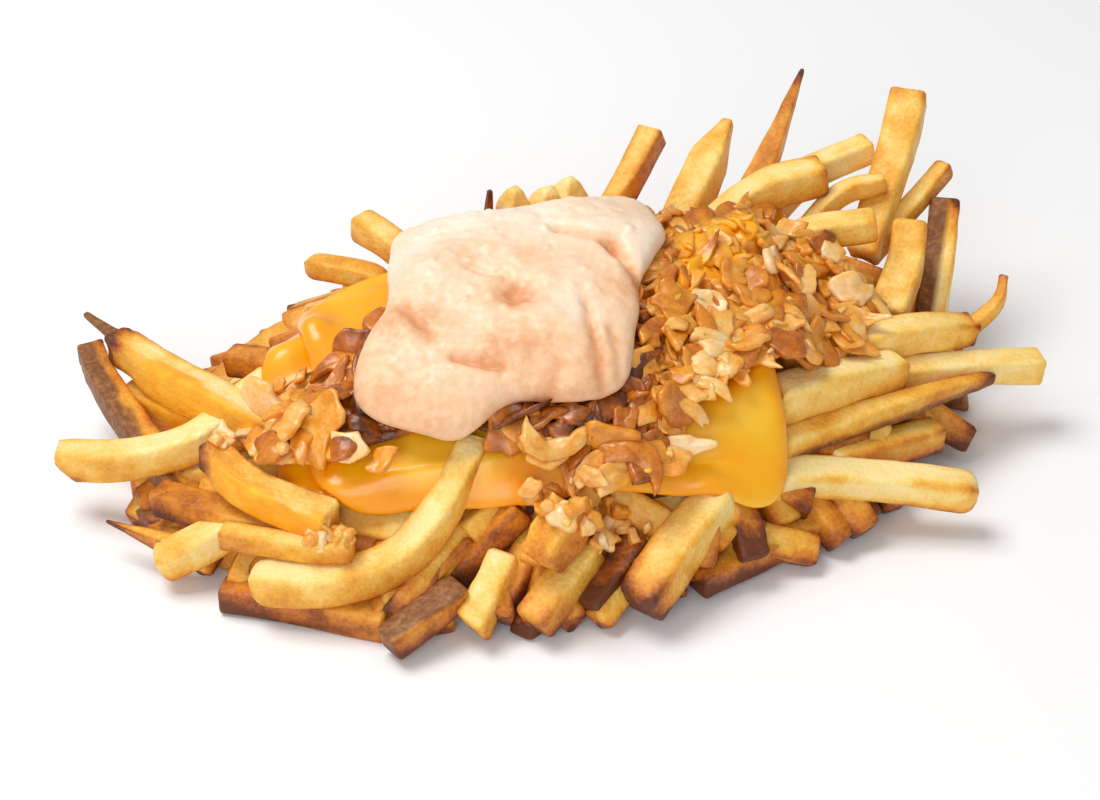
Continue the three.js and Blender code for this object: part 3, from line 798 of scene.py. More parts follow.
def cheese_slice(outline, underside, seed):
    """A melted slice: thicker at its rounded hem, with slow waves in its top."""
    pile = Pile("thin")

    def top(x, y):
        share = outline.share(x, y)
        hem = 1.1 * np.exp(-(((share - 0.93) / 0.08) ** 2))
        wave = 0.7 * lumps(flat(x, y), 10, seed) + 0.4 * lumps(flat(x, y), 4.5, seed)
        return underside(x, y) + SLICE_THICKNESS * 0.85 + hem + wave

    points, faces = layer_shape(outline, pad_rings(48, 1.5), 320, underside, top)
    share = outline.share(points[:, 0], points[:, 1])
    # Paler where the cheese lies thin; darker orange at the thick hem, partly painted shade of its shadowed
    # side; paler towards the right, from x 18 to 40 mm, as painted light.
    thin = 0.42 + 0.5 * lumps(points, 9, seed) - 0.45 * smooth(share, 0.9, 1)
    thin = np.clip(thin + 0.4 * smooth(points[:, 0], 18, 40), 0, 1)
    pile.add(points, faces, thin=thin)
    return pile


# Melted bits away from the slices: column, row, length, width, thickness and heading in degrees.
MELTED_BITS = [
    (764, 220, 8, 6, 2.2, 10), (745, 232, 6, 5, 1.8, 60), (692, 250, 9, 6, 2, 80), (700, 272, 8, 6, 2, 60),
    (736, 262, 6, 9, 2, 10), (742, 290, 6, 9, 1.8, 20), (720, 236, 6, 4, 1.6, 20),
]


def laid_on(points, point, normal):
    """Points made flat, laid on a place of a surface with a normal."""
    turn = np.array(Vector((0, 0, 1)).rotation_difference(normal).to_matrix())
    return points @ turn.T + np.array(point)


def sight_hit(column, row, tree):
    """The point and the normal where the line of sight through a pixel meets a mesh."""
    towards = placed(column, row, 0) - VIEW_POINT
    point, normal, _, _ = tree.ray_cast(Vector(VIEW_POINT), Vector(towards).normalized())
    return point, normal


def melted_bits(tree):
    """Small runs and blobs of cheese on the fries and the onions."""
    rng = np.random.default_rng(17)
    pile = Pile("thin")
    rings, sides = 9, 20
    tilt = np.linspace(-math.pi / 2, math.pi / 2, rings + 2)
    angles = np.arange(sides) / sides * 2 * math.pi
    for column, row, length, width, thickness, heading in MELTED_BITS:
        point, normal = sight_hit(column, row, tree)
        if point is None:
            continue
        out, rise = np.cos(tilt)[:, None] ** 0.6, np.sin(tilt)[:, None]
        x, y = out * np.cos(angles) * length / 2, out * np.sin(angles) * width / 2
        shape = np.stack([x, y, rise * thickness / 2 + 0 * x], axis=-1)
        points = turned(np.vstack([shape[0][:1], *shape[1:-1], shape[-1][:1]]), math.radians(heading), 0, 0)
        points = points * (1 + 0.25 * lumps(points + rng.uniform(0, 50), 3)[:, None])
        pile.add(laid_on(points, point, normal), wrapped_faces(rings, sides), thin=0.15)
    return pile


# ONIONS

# The onions' edge in plan, anticlockwise from the right end.
ONION_EDGE = Outline((0, -16), eased_loop([
    (58, 1), (55, 9), (45, 16), (33, 19), (18, 17), (0, 10), (-18, 1), (-29, -14), (-36, -23), (-46, -25),
    (-53, -31), (-51, -37), (-43, -41), (-30, -39), (-14, -38), (0, -42), (12, -42), (20, -37), (25, -29),
    (36, -22), (50, -11),
], 1440))
SAUCE_EDGE = Outline((-10, -13), eased_loop([
    (14, -12), (17, -4), (19, 3), (14, 13), (5, 18), (-7, 14), (-20, 9), (-30, 4), (-31, -7), (-31, -20),
    (-36, -31), (-34, -38), (-26, -42), (-17, -43), (-8, -38), (4, -37), (11, -33), (13, -22),
], 1440))
SAUCE_BEDDING = 1
SAUCE_BITS = 90


def onion_floor(bed):
    return lambda x, y: bed(x, y) + slice_lift(BACK_EDGE, x, y) + slice_lift(FRONT_EDGE, x, y) + 2.5 * GAP


def onion_top(floor):
    def top(x, y):
        outside = smooth(SAUCE_EDGE.share(x, y), 0.8, 1.05)
        return floor(x, y) + mix(SAUCE_BEDDING, ONION_DEPTH - 0.8, outside)

    return top


def packed_pieces(x, y, spacing, seed):
    """Chopped pieces packed side by side: how high their tops stand at a place, and how brown they are, with
    painted shade in the seams between them.
    """
    table = np.random.default_rng(seed).uniform(0, 1, (64, 64, 6))
    at = flat(x, y)
    x, y = x + 0.9 * lumps(at, 3.5, 11), y + 0.9 * lumps(at, 3.5, 12)
    near, next_near = np.full(x.shape, 99.0), np.full(x.shape, 99.0)
    height, brown = np.zeros(x.shape), np.zeros(x.shape)
    for step_x, step_y in product((-1, 0, 1), (-1, 0, 1)):
        column = np.floor(x / spacing).astype(int) + step_x
        row = np.floor(y / spacing).astype(int) + step_y
        piece = table[column % 64, row % 64]
        aside = x - (column + piece[..., 0]) * spacing
        along = y - (row + piece[..., 1]) * spacing
        distance = np.hypot(aside, along)
        slope_aside, slope_along = 0.7 * (piece[..., 3] - 0.5), 0.7 * (piece[..., 4] - 0.5)
        tilted = 1.7 * piece[..., 2] + slope_aside * aside + slope_along * along
        closer = distance < near
        next_near = np.where(closer, near, np.minimum(next_near, distance))
        height = np.where(closer, tilted, height)
        brown = np.where(closer, piece[..., 5], brown)
        near = np.where(closer, distance, near)
    inside = smooth(next_near - near, 0, 1.2)
    # Painted shade: the brown rises at the seams between pieces, down in the grooves.
    return inside * (0.5 + height), brown + 0.5 * (1 - inside)


# Places where melted cheese has run over the onions: column, row and reach in millimetres.
CHEESY_SPOTS = [(692, 250, 4), (745, 232, 4), (764, 218, 3), (702, 274, 4), (738, 262, 3), (642, 492, 4),
                (716, 236, 3), (676, 300, 3)]


def cheesy_places(surface):
    return [(*seen_at(column, row, surface), reach) for column, row, reach in CHEESY_SPOTS]


def onion_looks(points, places):
    """How much of the brown of grilled onion, with painted shade under the front of the sauce's lip, and how
    much cheese, a place has by where it lies.
    """
    x, y = points[:, 0], points[:, 1]
    # Painted shade: onions in front, under the sauce's front lip, are made browner.
    lip_shade = smooth(-y, 8, 24) * (1 - smooth(SAUCE_EDGE.share(x, y), 1.03, 1.3))
    patch = 0.14 * lumps(flat(x, y), 8, 21) + 0.45 * lip_shade
    cheesy = 0 * x
    for at_x, at_y, reach in places:
        cheesy = np.maximum(cheesy, 1.3 * np.exp(-((x - at_x) ** 2 + (y - at_y) ** 2) / reach**2))
    return patch, smooth(cheesy + 0.35 * lumps(points, 2.5, 22), 0.45, 0.75)


def onion_mash(floor):
    """The soft fried mass of chopped pieces, packed together."""
    pile = Pile("brown", "cheesy")
    plain = onion_top(floor)

    def top(x, y):
        at = flat(x, y)
        pieces, _ = packed_pieces(x, y, 4.6, 3)
        small, _ = packed_pieces(x, y, 2.3, 4)
        return plain(x, y) + pieces + 0.3 * small - 1.2 + 0.7 * lumps(at, 6, 1) + 0.18 * lumps(at, 1.4, 3)

    points, faces = layer_shape(ONION_EDGE, pad_rings(92, 1.3), 440, floor, top)
    _, brown = packed_pieces(points[:, 0], points[:, 1], 4.6, 3)
    patch, cheesy = onion_looks(points, cheesy_places(plain))
    # The brown here holds painted shade: in the seams between pieces and under the sauce's front lip.
    pile.add(points, faces, brown=np.clip(0.2 + 0.38 * brown + patch, 0, 0.95), cheesy=cheesy)
    return pile


def cut_outline(angles, rng):
    """Distance to the edge, at angles, of an uneven shape with four or five cut sides."""
    corners = rng.integers(4, 6)
    at = (np.arange(corners + 1) + np.append(rng.uniform(-0.22, 0.22, corners), 0)) / corners * 2 * math.pi
    at[-1] = at[0] + 2 * math.pi
    far = rng.uniform(0.85, 1.25, corners + 1)
    far[-1] = far[0]
    turn = at[0] + (angles - at[0]) % (2 * math.pi)
    side = np.clip(np.searchsorted(at, turn, side="right") - 1, 0, corners - 1)
    a, b, near, next_ = at[side], at[side + 1], far[side], far[side + 1]
    return near * next_ * np.sin(b - a) / (near * np.sin(turn - a) + next_ * np.sin(b - turn))


SCRAP_SIDES = 26
SCRAP_RINGS = [(0.42, 0), (0.8, 0.02), (0.96, 0.14), (1, 0.5), (0.97, 0.86), (0.86, 0.98), (0.45, 1)]


def onion_scrap(length, width, thickness, bend, rng):
    """A limp scrap of an onion's layer: an uneven outline, soft folds and an arc along its length."""
    angles = np.arange(SCRAP_SIDES) / SCRAP_SIDES * 2 * math.pi
    radius = 1 + 0 * angles
    for waves in (2, 3, 4, 6):
        radius = radius + rng.normal(0, 0.17 / waves**0.8) * np.cos(waves * angles + rng.uniform(0, 6))
    radius = np.clip(radius, 0.68, 1.32) * mix(1, cut_outline(angles, rng), 0.9)
    rings = [(0, 0), *SCRAP_RINGS, (0, 1)]
    out = np.array([ring[0] for ring in rings])[:, None] * radius
    rise = np.array([ring[1] for ring in rings])[:, None] - 0.5 + 0 * radius
    x = out * np.cos(angles) * length / 2
    y = out * np.sin(angles) * width / 2
    drift = rng.uniform(0, 90)
    at = np.stack([x + drift, y, 0 * x], axis=-1)
    folds = 1.1 * lumps(at, 4.6) + 0.35 * lumps(at, 1.8)
    uneven = thickness * (1 + 0.4 * lumps(at, 2.6, 4))
    shape = np.stack([x, y + bend * x * x, folds + rise * uneven], axis=-1)
    points = np.vstack([shape[0][:1], *shape[1:-1], shape[-1][:1]])
    return points, wrapped_faces(len(SCRAP_RINGS), SCRAP_SIDES)


def curled(points, radius):
    """Points bent in plan round a circle."""
    angle, out = points[:, 0] / radius, radius + points[:, 1]
    return np.stack([out * np.sin(angle), out * np.cos(angle) - radius, points[:, 2]], axis=-1)


def turned(points, heading, lean, side_lean):
    """Points leant about their length and width, then turned in plan."""
    cos, sin = math.cos(side_lean), math.sin(side_lean)
    points = points @ np.array([[1, 0, 0], [0, cos, sin], [0, -sin, cos]])
    cos, sin = math.cos(lean), math.sin(lean)
    points = points @ np.array([[cos, 0, sin], [0, 1, 0], [-sin, 0, cos]])
    cos, sin = math.cos(heading), math.sin(heading)
    return points @ np.array([[cos, sin, 0], [-sin, cos, 0], [0, 0, 1]])


def along_surface(points, surface, x, y):
    """Points tipped so that what lay level follows a surface at a place, and set down there."""
    step = 2
    rise_x = (surface(x + step, y) - surface(x - step, y)) / (2 * step)
    rise_y = (surface(x, y + step) - surface(x, y - step)) / (2 * step)
    normal = Vector((-rise_x, -rise_y, 1)).normalized()
    return laid_on(points, (x, y, surface(x, y)), normal)


# Chopped pieces that show singly in the photograph: column, row, length, width, how brown, heading in
# degrees and lean in degrees.
SHOWN_SCRAPS = [
    (769, 268, 8, 6, 0.05, 80, 35), (802, 288, 9, 7, 0.2, 60, -20), (845, 296, 9, 7.5, 0.12, 10, 25),
    (806, 322, 10, 6, 0.3, -15, 35), (764, 222, 8, 7, 0.6, 20, 10), (706, 309, 9, 5, 0.1, -35, 20),
    (668, 303, 9, 9, 0.5, 15, 30), (711, 353, 6, 5, 0.05, 10, 0), (752, 324, 11, 4, 0.25, 40, 10),
    (672, 408, 8, 10, 0.6, 75, 30), (684, 447, 9, 4, 0.08, 5, 20), (640, 468, 8, 8, 0.8, -60, -30),
    (608, 442, 13, 7, 0.5, -10, 35), (545, 452, 9, 6, 0.3, 5, -25), (296, 420, 10, 15, 0.3, 10, -30),
    (270, 402, 8, 9, 0.15, 20, 30), (325, 428, 9, 13, 0.4, -15, 25), (352, 451, 8, 7, 0.1, -10, 15),
    (382, 460, 7, 5, 0.4, 25, -20), (530, 490, 5, 4, 0.3, 10, 20), (588, 480, 6, 4, 0.25, -25, 30),
    (730, 280, 8, 6, 0.45, 50, 20), (640, 370, 7, 8, 0.35, 70, 20), (700, 395, 7, 5, 0.3, -50, 25),
    (745, 360, 8, 5, 0.7, 15, 15), (820, 250, 7, 5, 0.8, 35, 20), (780, 350, 8, 6, 0.75, -20, 10),
]
SCRAPS_AT_RANDOM = 250
# Pieces of a ring that lie curled: column, row, length, width, radius, how brown, and heading in degrees.
CURLED_SCRAPS = [(546, 450, 15, 4.6, 4.6, 0.28, 175), (628, 456, 16, 5.8, 5.4, 0.6, -15),
                 (712, 348, 12, 4, 5, 0.2, -30)]


def onion_pieces(surface):
    """Chopped scraps over the mash: most lie sunk in it, and some are loose on it."""
    rng = np.random.default_rng(31)
    places = cheesy_places(surface)
    pile = Pile("brown", "cheesy")
    spots = []
    while len(spots) < SCRAPS_AT_RANDOM:
        angle, out = rng.uniform(-math.pi, math.pi), math.sqrt(rng.uniform())
        far = ONION_EDGE.reach(angle) * out * 1.02
        x, y = ONION_EDGE.middle[0] + far * math.cos(angle), ONION_EDGE.middle[1] + far * math.sin(angle)
        if SAUCE_EDGE.share(x, y) < 0.96:
            continue
        apart = min([math.hypot(x - a, y - b) for a, b in spots], default=9)
        if apart > 1.7:
            spots.append((x, y))
    for number, (x, y) in enumerate(spots):
        size = rng.uniform(0.55, 0.9) if number % 3 == 1 else rng.uniform(1, 1.65)
        strand = number % 4 == 0
        length, width = (9 * size, 2.8 * size) if strand else (6.4 * size, rng.uniform(3.4, 5.6) * size)
        bend = rng.choice([-1, 1]) * rng.uniform(0.04, 0.1) * strand / size
        points, faces = onion_scrap(length, width, rng.uniform(0.8, 1.5), bend, rng)
        browned = 0.1 * points[:, 0] / size / 3
        points = turned(points, rng.uniform(0, math.pi), rng.normal(0, 0.24), rng.normal(0, 0.28))
        points = along_surface(points + np.array([0, 0, 1.2 if number % 3 == 0 else 0.6]), surface, x, y)
        patch, cheesy = onion_looks(points, places)
        # The mean patch brings the onions' mottling and the painted shade under the sauce's lip onto the
        # scrap.
        brown = rng.normal(0.43, 0.11) + browned + patch.mean()
        pile.add(points, faces, brown=np.clip(brown, 0.04, 0.95), cheesy=cheesy)

    def lay(points, faces, column, row, height, heading, lean, brown):
        points = turned(points, math.radians(heading), 0.1, math.radians(lean)) + np.array([0, 0, height])
        points = along_surface(points, surface, *seen_at(column, row, surface))
        pile.add(points, faces, brown=brown, cheesy=0)

    for column, row, length, width, brown, heading, lean in SHOWN_SCRAPS:
        points, faces = onion_scrap(length, width, 1.5, 0.02, rng)
        lay(points, faces, column, row, 1.7, heading, lean, brown)
    for column, row, length, width, radius, brown, heading in CURLED_SCRAPS:
        points, faces = onion_scrap(length, width, 2.2, 0, rng)
        lay(curled(points, radius), faces, column, row, 2.2, heading, 0, brown)
    return pile


# Where crumbs and small bits of onion have dropped in front of the slices: column, row, how far they are
# spread in pixels, and how many there are.
CRUMB_SPOTS = [(575, 498, 50, 30), (332, 534, 22, 14), (604, 528, 36, 16), (235, 440, 16, 8)]


def crumbs(tree):
    """Small bits of fried onion and potato lying on what is under them."""
    rng = np.random.default_rng(41)
    pile = Pile("brown", "cheesy")
    for column, row, spread, count in CRUMB_SPOTS:
        for _ in range(count):
            aside, below = rng.normal(0, spread / 2), rng.normal(0, spread / 4)
            point, normal = sight_hit(column + aside, row + below, tree)
            if point is None or point.z < 3:
                continue
            size = rng.uniform(2.4, 5.6)
            points, faces = onion_scrap(size, size * rng.uniform(0.6, 1), rng.uniform(1.2, 2.2), 0, rng)
            points = turned(points, rng.uniform(0, 3), rng.normal(0, 0.5), rng.normal(0, 0.5))
            points = laid_on(points, point, normal) + 0.3 * np.array(normal)
            brown, cheesy = np.clip(rng.normal(0.28, 0.14), 0, 1), 0.25 * (rng.uniform() < 0.4)
            pile.add(points, faces, brown=brown, cheesy=cheesy)
    return pile


def seen_at(column, row, surface):
    """Where in plan the line of sight through a pixel meets a surface."""
    height = 30.0
    for _ in range(40):
        x, y, _ = placed(column, row, height)
        height = mix(height, float(surface(x, y)), 0.5)
    return x, y


# SAUCE

# Swells and hollows of the sauce: column, row, height and radius; and its creases: two ends, depth and
# width.
SAUCE_SWELLS = [
    (600, 225, 1.2, 9), (440, 262, 0.7, 10), (518, 287, -1.6, 3), (470, 305, -0.6, 6), (560, 330, 0.9, 8),
    (425, 385, 0.9, 9), (500, 240, 0.5, 8), (600, 350, 0.6, 6), (520, 385, 0.5, 8),
]
SAUCE_CREASES = [
    ((560, 226), (610, 238), 1.8, 1.4), ((610, 238), (655, 285), 2.6, 1.6), ((455, 352), (502, 362), 1.4, 1),
    ((588, 300), (604, 385), 1.2, 1.2), ((400, 300), (430, 330), 0.9, 1.4), ((540, 390), (560, 360), 1, 1.2),
    ((470, 262), (505, 270), 0.9, 1.2), ((612, 320), (620, 365), 0.9, 1),
]


def sauce_floor(x, y):
    lifted = slice_lift(BACK_EDGE, x, y) + slice_lift(FRONT_EDGE, x, y)
    return bed_height(x, y) + lifted + 2.5 * GAP + SAUCE_BEDDING + 2 * GAP


def sauce_spoonful():
    """A thick spoonful: lobes over a rounded lip, folds, and small bits of relish under its skin."""
    rng = np.random.default_rng(8)
    surface = lambda x, y: sauce_floor(x, y) + SAUCE_THICKNESS
    swells = [(*seen_at(column, row, surface), rise, reach) for column, row, rise, reach in SAUCE_SWELLS]
    creases = [(seen_at(*a, surface), seen_at(*b, surface), *size) for a, b, *size in SAUCE_CREASES]
    bits = []
    while len(bits) < SAUCE_BITS:
        x, y = rng.uniform(-38, 20), rng.uniform(-44, 20)
        if SAUCE_EDGE.share(x, y) < 0.97:
            bits.append((x, y, rng.uniform(0.2, 0.5), rng.uniform(0.6, 1.2)))

    def creased(x, y):
        total = 0 * x
        for (ax, ay), (bx, by), depth, width in creases:
            along = (x - ax) * (bx - ax) + (y - ay) * (by - ay)
            share = np.clip(along / ((bx - ax) ** 2 + (by - ay) ** 2), 0, 1)
            away = np.hypot(x - mix(ax, bx, share), y - mix(ay, by, share))
            total = total + depth * np.exp(-((away / width) ** 2))
        return total

    def top(x, y):
        at = flat(x, y)
        relief = 0.8 * lumps(at, 10, 1) + 0.6 * lumps(at, 4.6, 2) + 0.16 * lumps(at, 1.8, 3)
        for a, b, rise, reach in swells + bits:
            relief = relief + rise * np.exp(-((x - a) ** 2 + (y - b) ** 2) / reach**2)
        return sauce_floor(x, y) + SAUCE_THICKNESS - 0.9 + relief - creased(x, y)

    lip = [
        (0.96, 0.1), (0.985, 0.2), (1, 0.35), (1, 0.5), (0.985, 0.66), (0.96, 0.78), (0.92, 0.87),
        (0.87, 0.94),
    ]
    inner = np.linspace(0, 1, 18)[1:-1] * 0.93
    crown = np.linspace(0.84, 0, 70)[:-1]
    rings = [(s, 0, 0) for s in inner] + [(s, 0, r) for s, r in lip]
    rings += [(s, 0, min(1, 0.94 + 0.06 * (0.87 - s) / 0.17)) for s in crown]
    points, faces = layer_shape(SAUCE_EDGE, rings, 360, sauce_floor, top)
    pile = Pile("pink")
    share = SAUCE_EDGE.share(points[:, 0], points[:, 1])
    uneven = np.stack([lumps(points, 6, 4), lumps(points, 6, 5)], axis=1)
    points[:, :2] += 0.5 * smooth(share, 0.8, 1)[:, None] * uneven
    x, y = points[:, 0], points[:, 1]
    # Painted shade: the front and the creases raise the pink value, so the sauce is more tan towards the
    # front and along its creases.
    front = smooth(-y, 0, 34)
    hollow = np.exp(-((x - swells[2][0]) ** 2 + (y - swells[2][1]) ** 2) / 14)
    pink = 0.34 + 0.4 * front + 0.24 * lumps(points, 7, 5) + 0.6 * hollow + 0.25 * creased(x, y)
    pile.add(points, faces, pink=np.clip(pink, 0, 1))
    return pile


# MATERIALS


def srgb(red, green, blue):
    """A display colour from 0 to 255 as the linear colour that a shader takes."""
    def linear(value):
        value /= 255
        return value / 12.92 if value <= 0.04045 else ((value + 0.055) / 1.055) ** 2.4

    return (linear(red), linear(green), linear(blue), 1)


def shader_group(name, inputs, outputs):
    group = bpy.data.node_groups.new(name, "ShaderNodeTree")
    for label, value in inputs.items():
        socket = group.interface.new_socket(label, in_out="INPUT", socket_type="NodeSocketFloat")
        socket.default_value = value
    for label in outputs:
        group.interface.new_socket(label, in_out="OUTPUT", socket_type="NodeSocketFloat")
    return group, group.nodes.new("NodeGroupInput"), group.nodes.new("NodeGroupOutput")


def mottling_group():
    """Soft uneven patches, as food browns: a mask from 0 to 1."""
    group, given, result = shader_group("mottling", {"Scale": 200, "Low": 0.4, "High": 0.6}, ["Mask"])
    where = group.nodes.new("ShaderNodeTexCoord")
    noise = group.nodes.new("ShaderNodeTexNoise")
    noise.inputs["Detail"].default_value = 4
    spread = group.nodes.new("ShaderNodeMapRange")
    group.links.new(where.outputs["Object"], noise.inputs["Vector"])
    group.links.new(given.outputs["Scale"], noise.inputs["Scale"])
    group.links.new(noise.outputs["Fac"], spread.inputs["Value"])
    group.links.new(given.outputs["Low"], spread.inputs["From Min"])
    group.links.new(given.outputs["High"], spread.inputs["From Max"])
    group.links.new(spread.outputs["Result"], result.inputs["Mask"])
    return group


def blisters_group():
    """Fine grain and small blisters: a height for bump."""
    group, given, result = shader_group("blisters", {"Scale": 900, "Blisters": 0.5}, ["Height"])
    where = group.nodes.new("ShaderNodeTexCoord")
    grain = group.nodes.new("ShaderNodeTexNoise")
    grain.inputs["Detail"].default_value = 5
    cells = group.nodes.new("ShaderNodeTexVoronoi")
    cells.feature = "SMOOTH_F1"
    both = group.nodes.new("ShaderNodeMix")
    for texture in (grain, cells):
        group.links.new(where.outputs["Object"], texture.inputs["Vector"])
        group.links.new(given.outputs["Scale"], texture.inputs["Scale"])
    group.links.new(given.outputs["Blisters"], both.inputs["Factor"])
    group.links.new(grain.outputs["Fac"], both.inputs["A"])
    group.links.new(cells.outputs["Distance"], both.inputs["B"])
    group.links.new(both.outputs["Result"], result.inputs["Height"])
    return group


MOTTLING = mottling_group()
BLISTERS = blisters_group()


class Finish:
    """A material with a Principled shader, and short ways to add what feeds it."""

    def __init__(self, name):
        self.material = bpy.data.materials.new(name)
        self.material.use_nodes = True
        self.nodes = self.material.node_tree.nodes
        self.links = self.material.node_tree.links
        self.shader = self.nodes["Principled BSDF"]

    def varied(self, value, mask, low, high):
        """A value with an amount added that a mask from 0 to 1 takes from low to high."""
        return self.calculate("ADD", value, self.spread(mask, 0, 1, low, high))

    def constant(self, **values):
        for label, value in values.items():
            self.shader.inputs[label.replace("_", " ")].default_value = value

    def feed(self, label, socket):
        self.links.new(socket, self.shader.inputs[label])

    def look(self, name):
        node = self.nodes.new("ShaderNodeAttribute")
        node.attribute_name = name
        return node.outputs["Fac"]

    def group(self, group, output, **values):
        node = self.nodes.new("ShaderNodeGroup")
        node.node_tree = group
        for label, value in values.items():
            node.inputs[label].default_value = value
        return node.outputs[output]

    def calculate(self, operation, a, b):
        node = self.nodes.new("ShaderNodeMath")
        node.operation = operation
        for socket, value in zip(node.inputs, (a, b)):
            if isinstance(value, (int, float)):
                socket.default_value = value
            else:
                self.links.new(value, socket)
        return node.outputs["Value"]

    def spread(self, value, low, high, to_low, to_high):
        node = self.nodes.new("ShaderNodeMapRange")
        node.inputs["From Min"].default_value = low
        node.inputs["From Max"].default_value = high
        node.inputs["To Min"].default_value = to_low
        node.inputs["To Max"].default_value = to_high
        self.links.new(value, node.inputs["Value"])
        return node.outputs["Result"]

    def ramp(self, value, stops):
        node = self.nodes.new("ShaderNodeValToRGB")
        elements = node.color_ramp.elements
        while len(elements) < len(stops):
            elements.new(1)
        for element, (position, colour) in zip(elements, stops):
            element.position = position
            element.color = srgb(*colour)
        self.links.new(value, node.inputs["Fac"])
        return node.outputs["Color"]

    def blend(self, share, under, over):
        node = self.nodes.new("ShaderNodeMix")
        node.data_type = "RGBA"
        self.links.new(share, node.inputs["Factor"])
        for label, colour in (("A", under), ("B", over)):
            socket = next(s for s in node.inputs if s.name == label and s.type == "RGBA")
            self.links.new(colour, socket)
        return next(s for s in node.outputs if s.type == "RGBA")

    def bump(self, height, distance, strength):
        node = self.nodes.new("ShaderNodeBump")
        node.inputs["Distance"].default_value = distance
        node.inputs["Strength"].default_value = strength
        self.links.new(height, node.inputs["Height"])
        self.links.new(node.outputs["Normal"], self.shader.inputs["Normal"])


def fried_potato():
    finish = Finish("fried_potato")
    patches = finish.group(MOTTLING, "Mask", Scale=260, Low=0.3, High=0.7)
    specks = finish.group(MOTTLING, "Mask", Scale=1500, Low=0.35, High=0.7)
    # The fries' browning value carries painted shade as well: on their lower faces and near the table.
    bake = finish.varied(finish.look("bake"), patches, -0.12, 0.12)
    bake = finish.varied(bake, specks, -0.06, 0.06)
    flesh = finish.ramp(bake, [
        (0.0, (255, 229, 158)), (0.2, (252, 209, 112)), (0.42, (240, 176, 62)), (0.65, (214, 132, 38)),
        (0.85, (162, 84, 26)), (1.0, (104, 52, 22)),
    ])
    bark = finish.group(MOTTLING, "Mask", Scale=900, Low=0.2, High=0.8)
    skin = finish.ramp(bark, [(0.0, (106, 62, 28)), (0.5, (138, 86, 42)), (1.0, (176, 124, 68))])
    cheese = finish.ramp(patches, [(0.0, (246, 158, 18)), (1.0, (254, 188, 46))])
    skinned = finish.blend(finish.look("skin"), flesh, skin)
    finish.feed("Base Color", finish.blend(finish.look("coat"), skinned, cheese))
    finish.feed("Roughness", finish.spread(patches, 0, 1, 0.42, 0.62))
    finish.constant(Subsurface_Weight=0.15, Subsurface_Scale=0.002, Specular_IOR_Level=0.4)
    finish.shader.inputs["Subsurface Radius"].default_value = (1.0, 0.6, 0.25)
    finish.bump(finish.group(BLISTERS, "Height", Scale=1100, Blisters=0.4), 0.0004, 0.8)
    return finish.material


def heap_inside_painted_shade():
    finish = Finish("heap_inside_painted_shade")
    patches = finish.group(MOTTLING, "Mask", Scale=160, Low=0.35, High=0.65)
    # Painted shade: the dark brown stands for the shade down between the fries.
    finish.feed("Base Color", finish.ramp(patches, [(0.0, (66, 30, 16)), (1.0, (120, 62, 26))]))
    finish.feed("Roughness", finish.spread(patches, 0, 1, 0.45, 0.7))
    finish.bump(finish.group(BLISTERS, "Height", Scale=700, Blisters=0.6), 0.0008, 1)
    return finish.material


def melted_cheese():
    finish = Finish("melted_cheese")
    patches = finish.group(MOTTLING, "Mask", Scale=90, Low=0.35, High=0.65)
    # Painted light and shade in this value: the slices are paler at their right end and darker at their hems.
    paler = finish.varied(finish.look("thin"), patches, -0.2, 0.2)
    colour = finish.ramp(paler, [(0.0, (254, 161, 0)), (0.5, (255, 186, 10)), (1.0, (255, 209, 70))])
    finish.feed("Base Color", colour)
    finish.feed("Roughness", finish.spread(patches, 0, 1, 0.22, 0.36))
    finish.constant(Subsurface_Weight=0.1, Subsurface_Scale=0.002, Coat_Weight=0.15, Coat_Roughness=0.1)
    finish.shader.inputs["Subsurface Radius"].default_value = (1.0, 0.55, 0.12)
    finish.bump(finish.group(BLISTERS, "Height", Scale=420, Blisters=0.2), 0.0003, 0.35)
    return finish.material


def grilled_onion():
    finish = Finish("grilled_onion")
    patches = finish.group(MOTTLING, "Mask", Scale=330, Low=0.3, High=0.7)
    fibres = finish.group(MOTTLING, "Mask", Scale=1300, Low=0.35, High=0.65)
    # The brown attribute holds painted shade as well as the onions' browning: in the seams between pieces and
    # under the sauce's front lip.
    brown = finish.varied(finish.look("brown"), patches, -0.14, 0.14)
    brown = finish.varied(brown, fibres, -0.05, 0.05)
    onion = finish.ramp(brown, [
        (0.0, (254, 216, 166)), (0.2, (248, 190, 104)), (0.42, (234, 152, 38)), (0.7, (190, 102, 16)),
        (1.0, (92, 40, 10)),
    ])
    cheese = finish.ramp(patches, [(0.0, (250, 158, 16)), (1.0, (255, 186, 44))])
    finish.feed("Base Color", finish.blend(finish.look("cheesy"), onion, cheese))
    finish.feed("Roughness", finish.spread(patches, 0, 1, 0.22, 0.42))
    finish.constant(Subsurface_Weight=0.25, Subsurface_Scale=0.0016, Coat_Weight=0.25, Coat_Roughness=0.18)
    finish.shader.inputs["Subsurface Radius"].default_value = (1.0, 0.6, 0.3)
    finish.bump(finish.group(BLISTERS, "Height", Scale=900, Blisters=0.3), 0.0003, 0.5)
    return finish.material


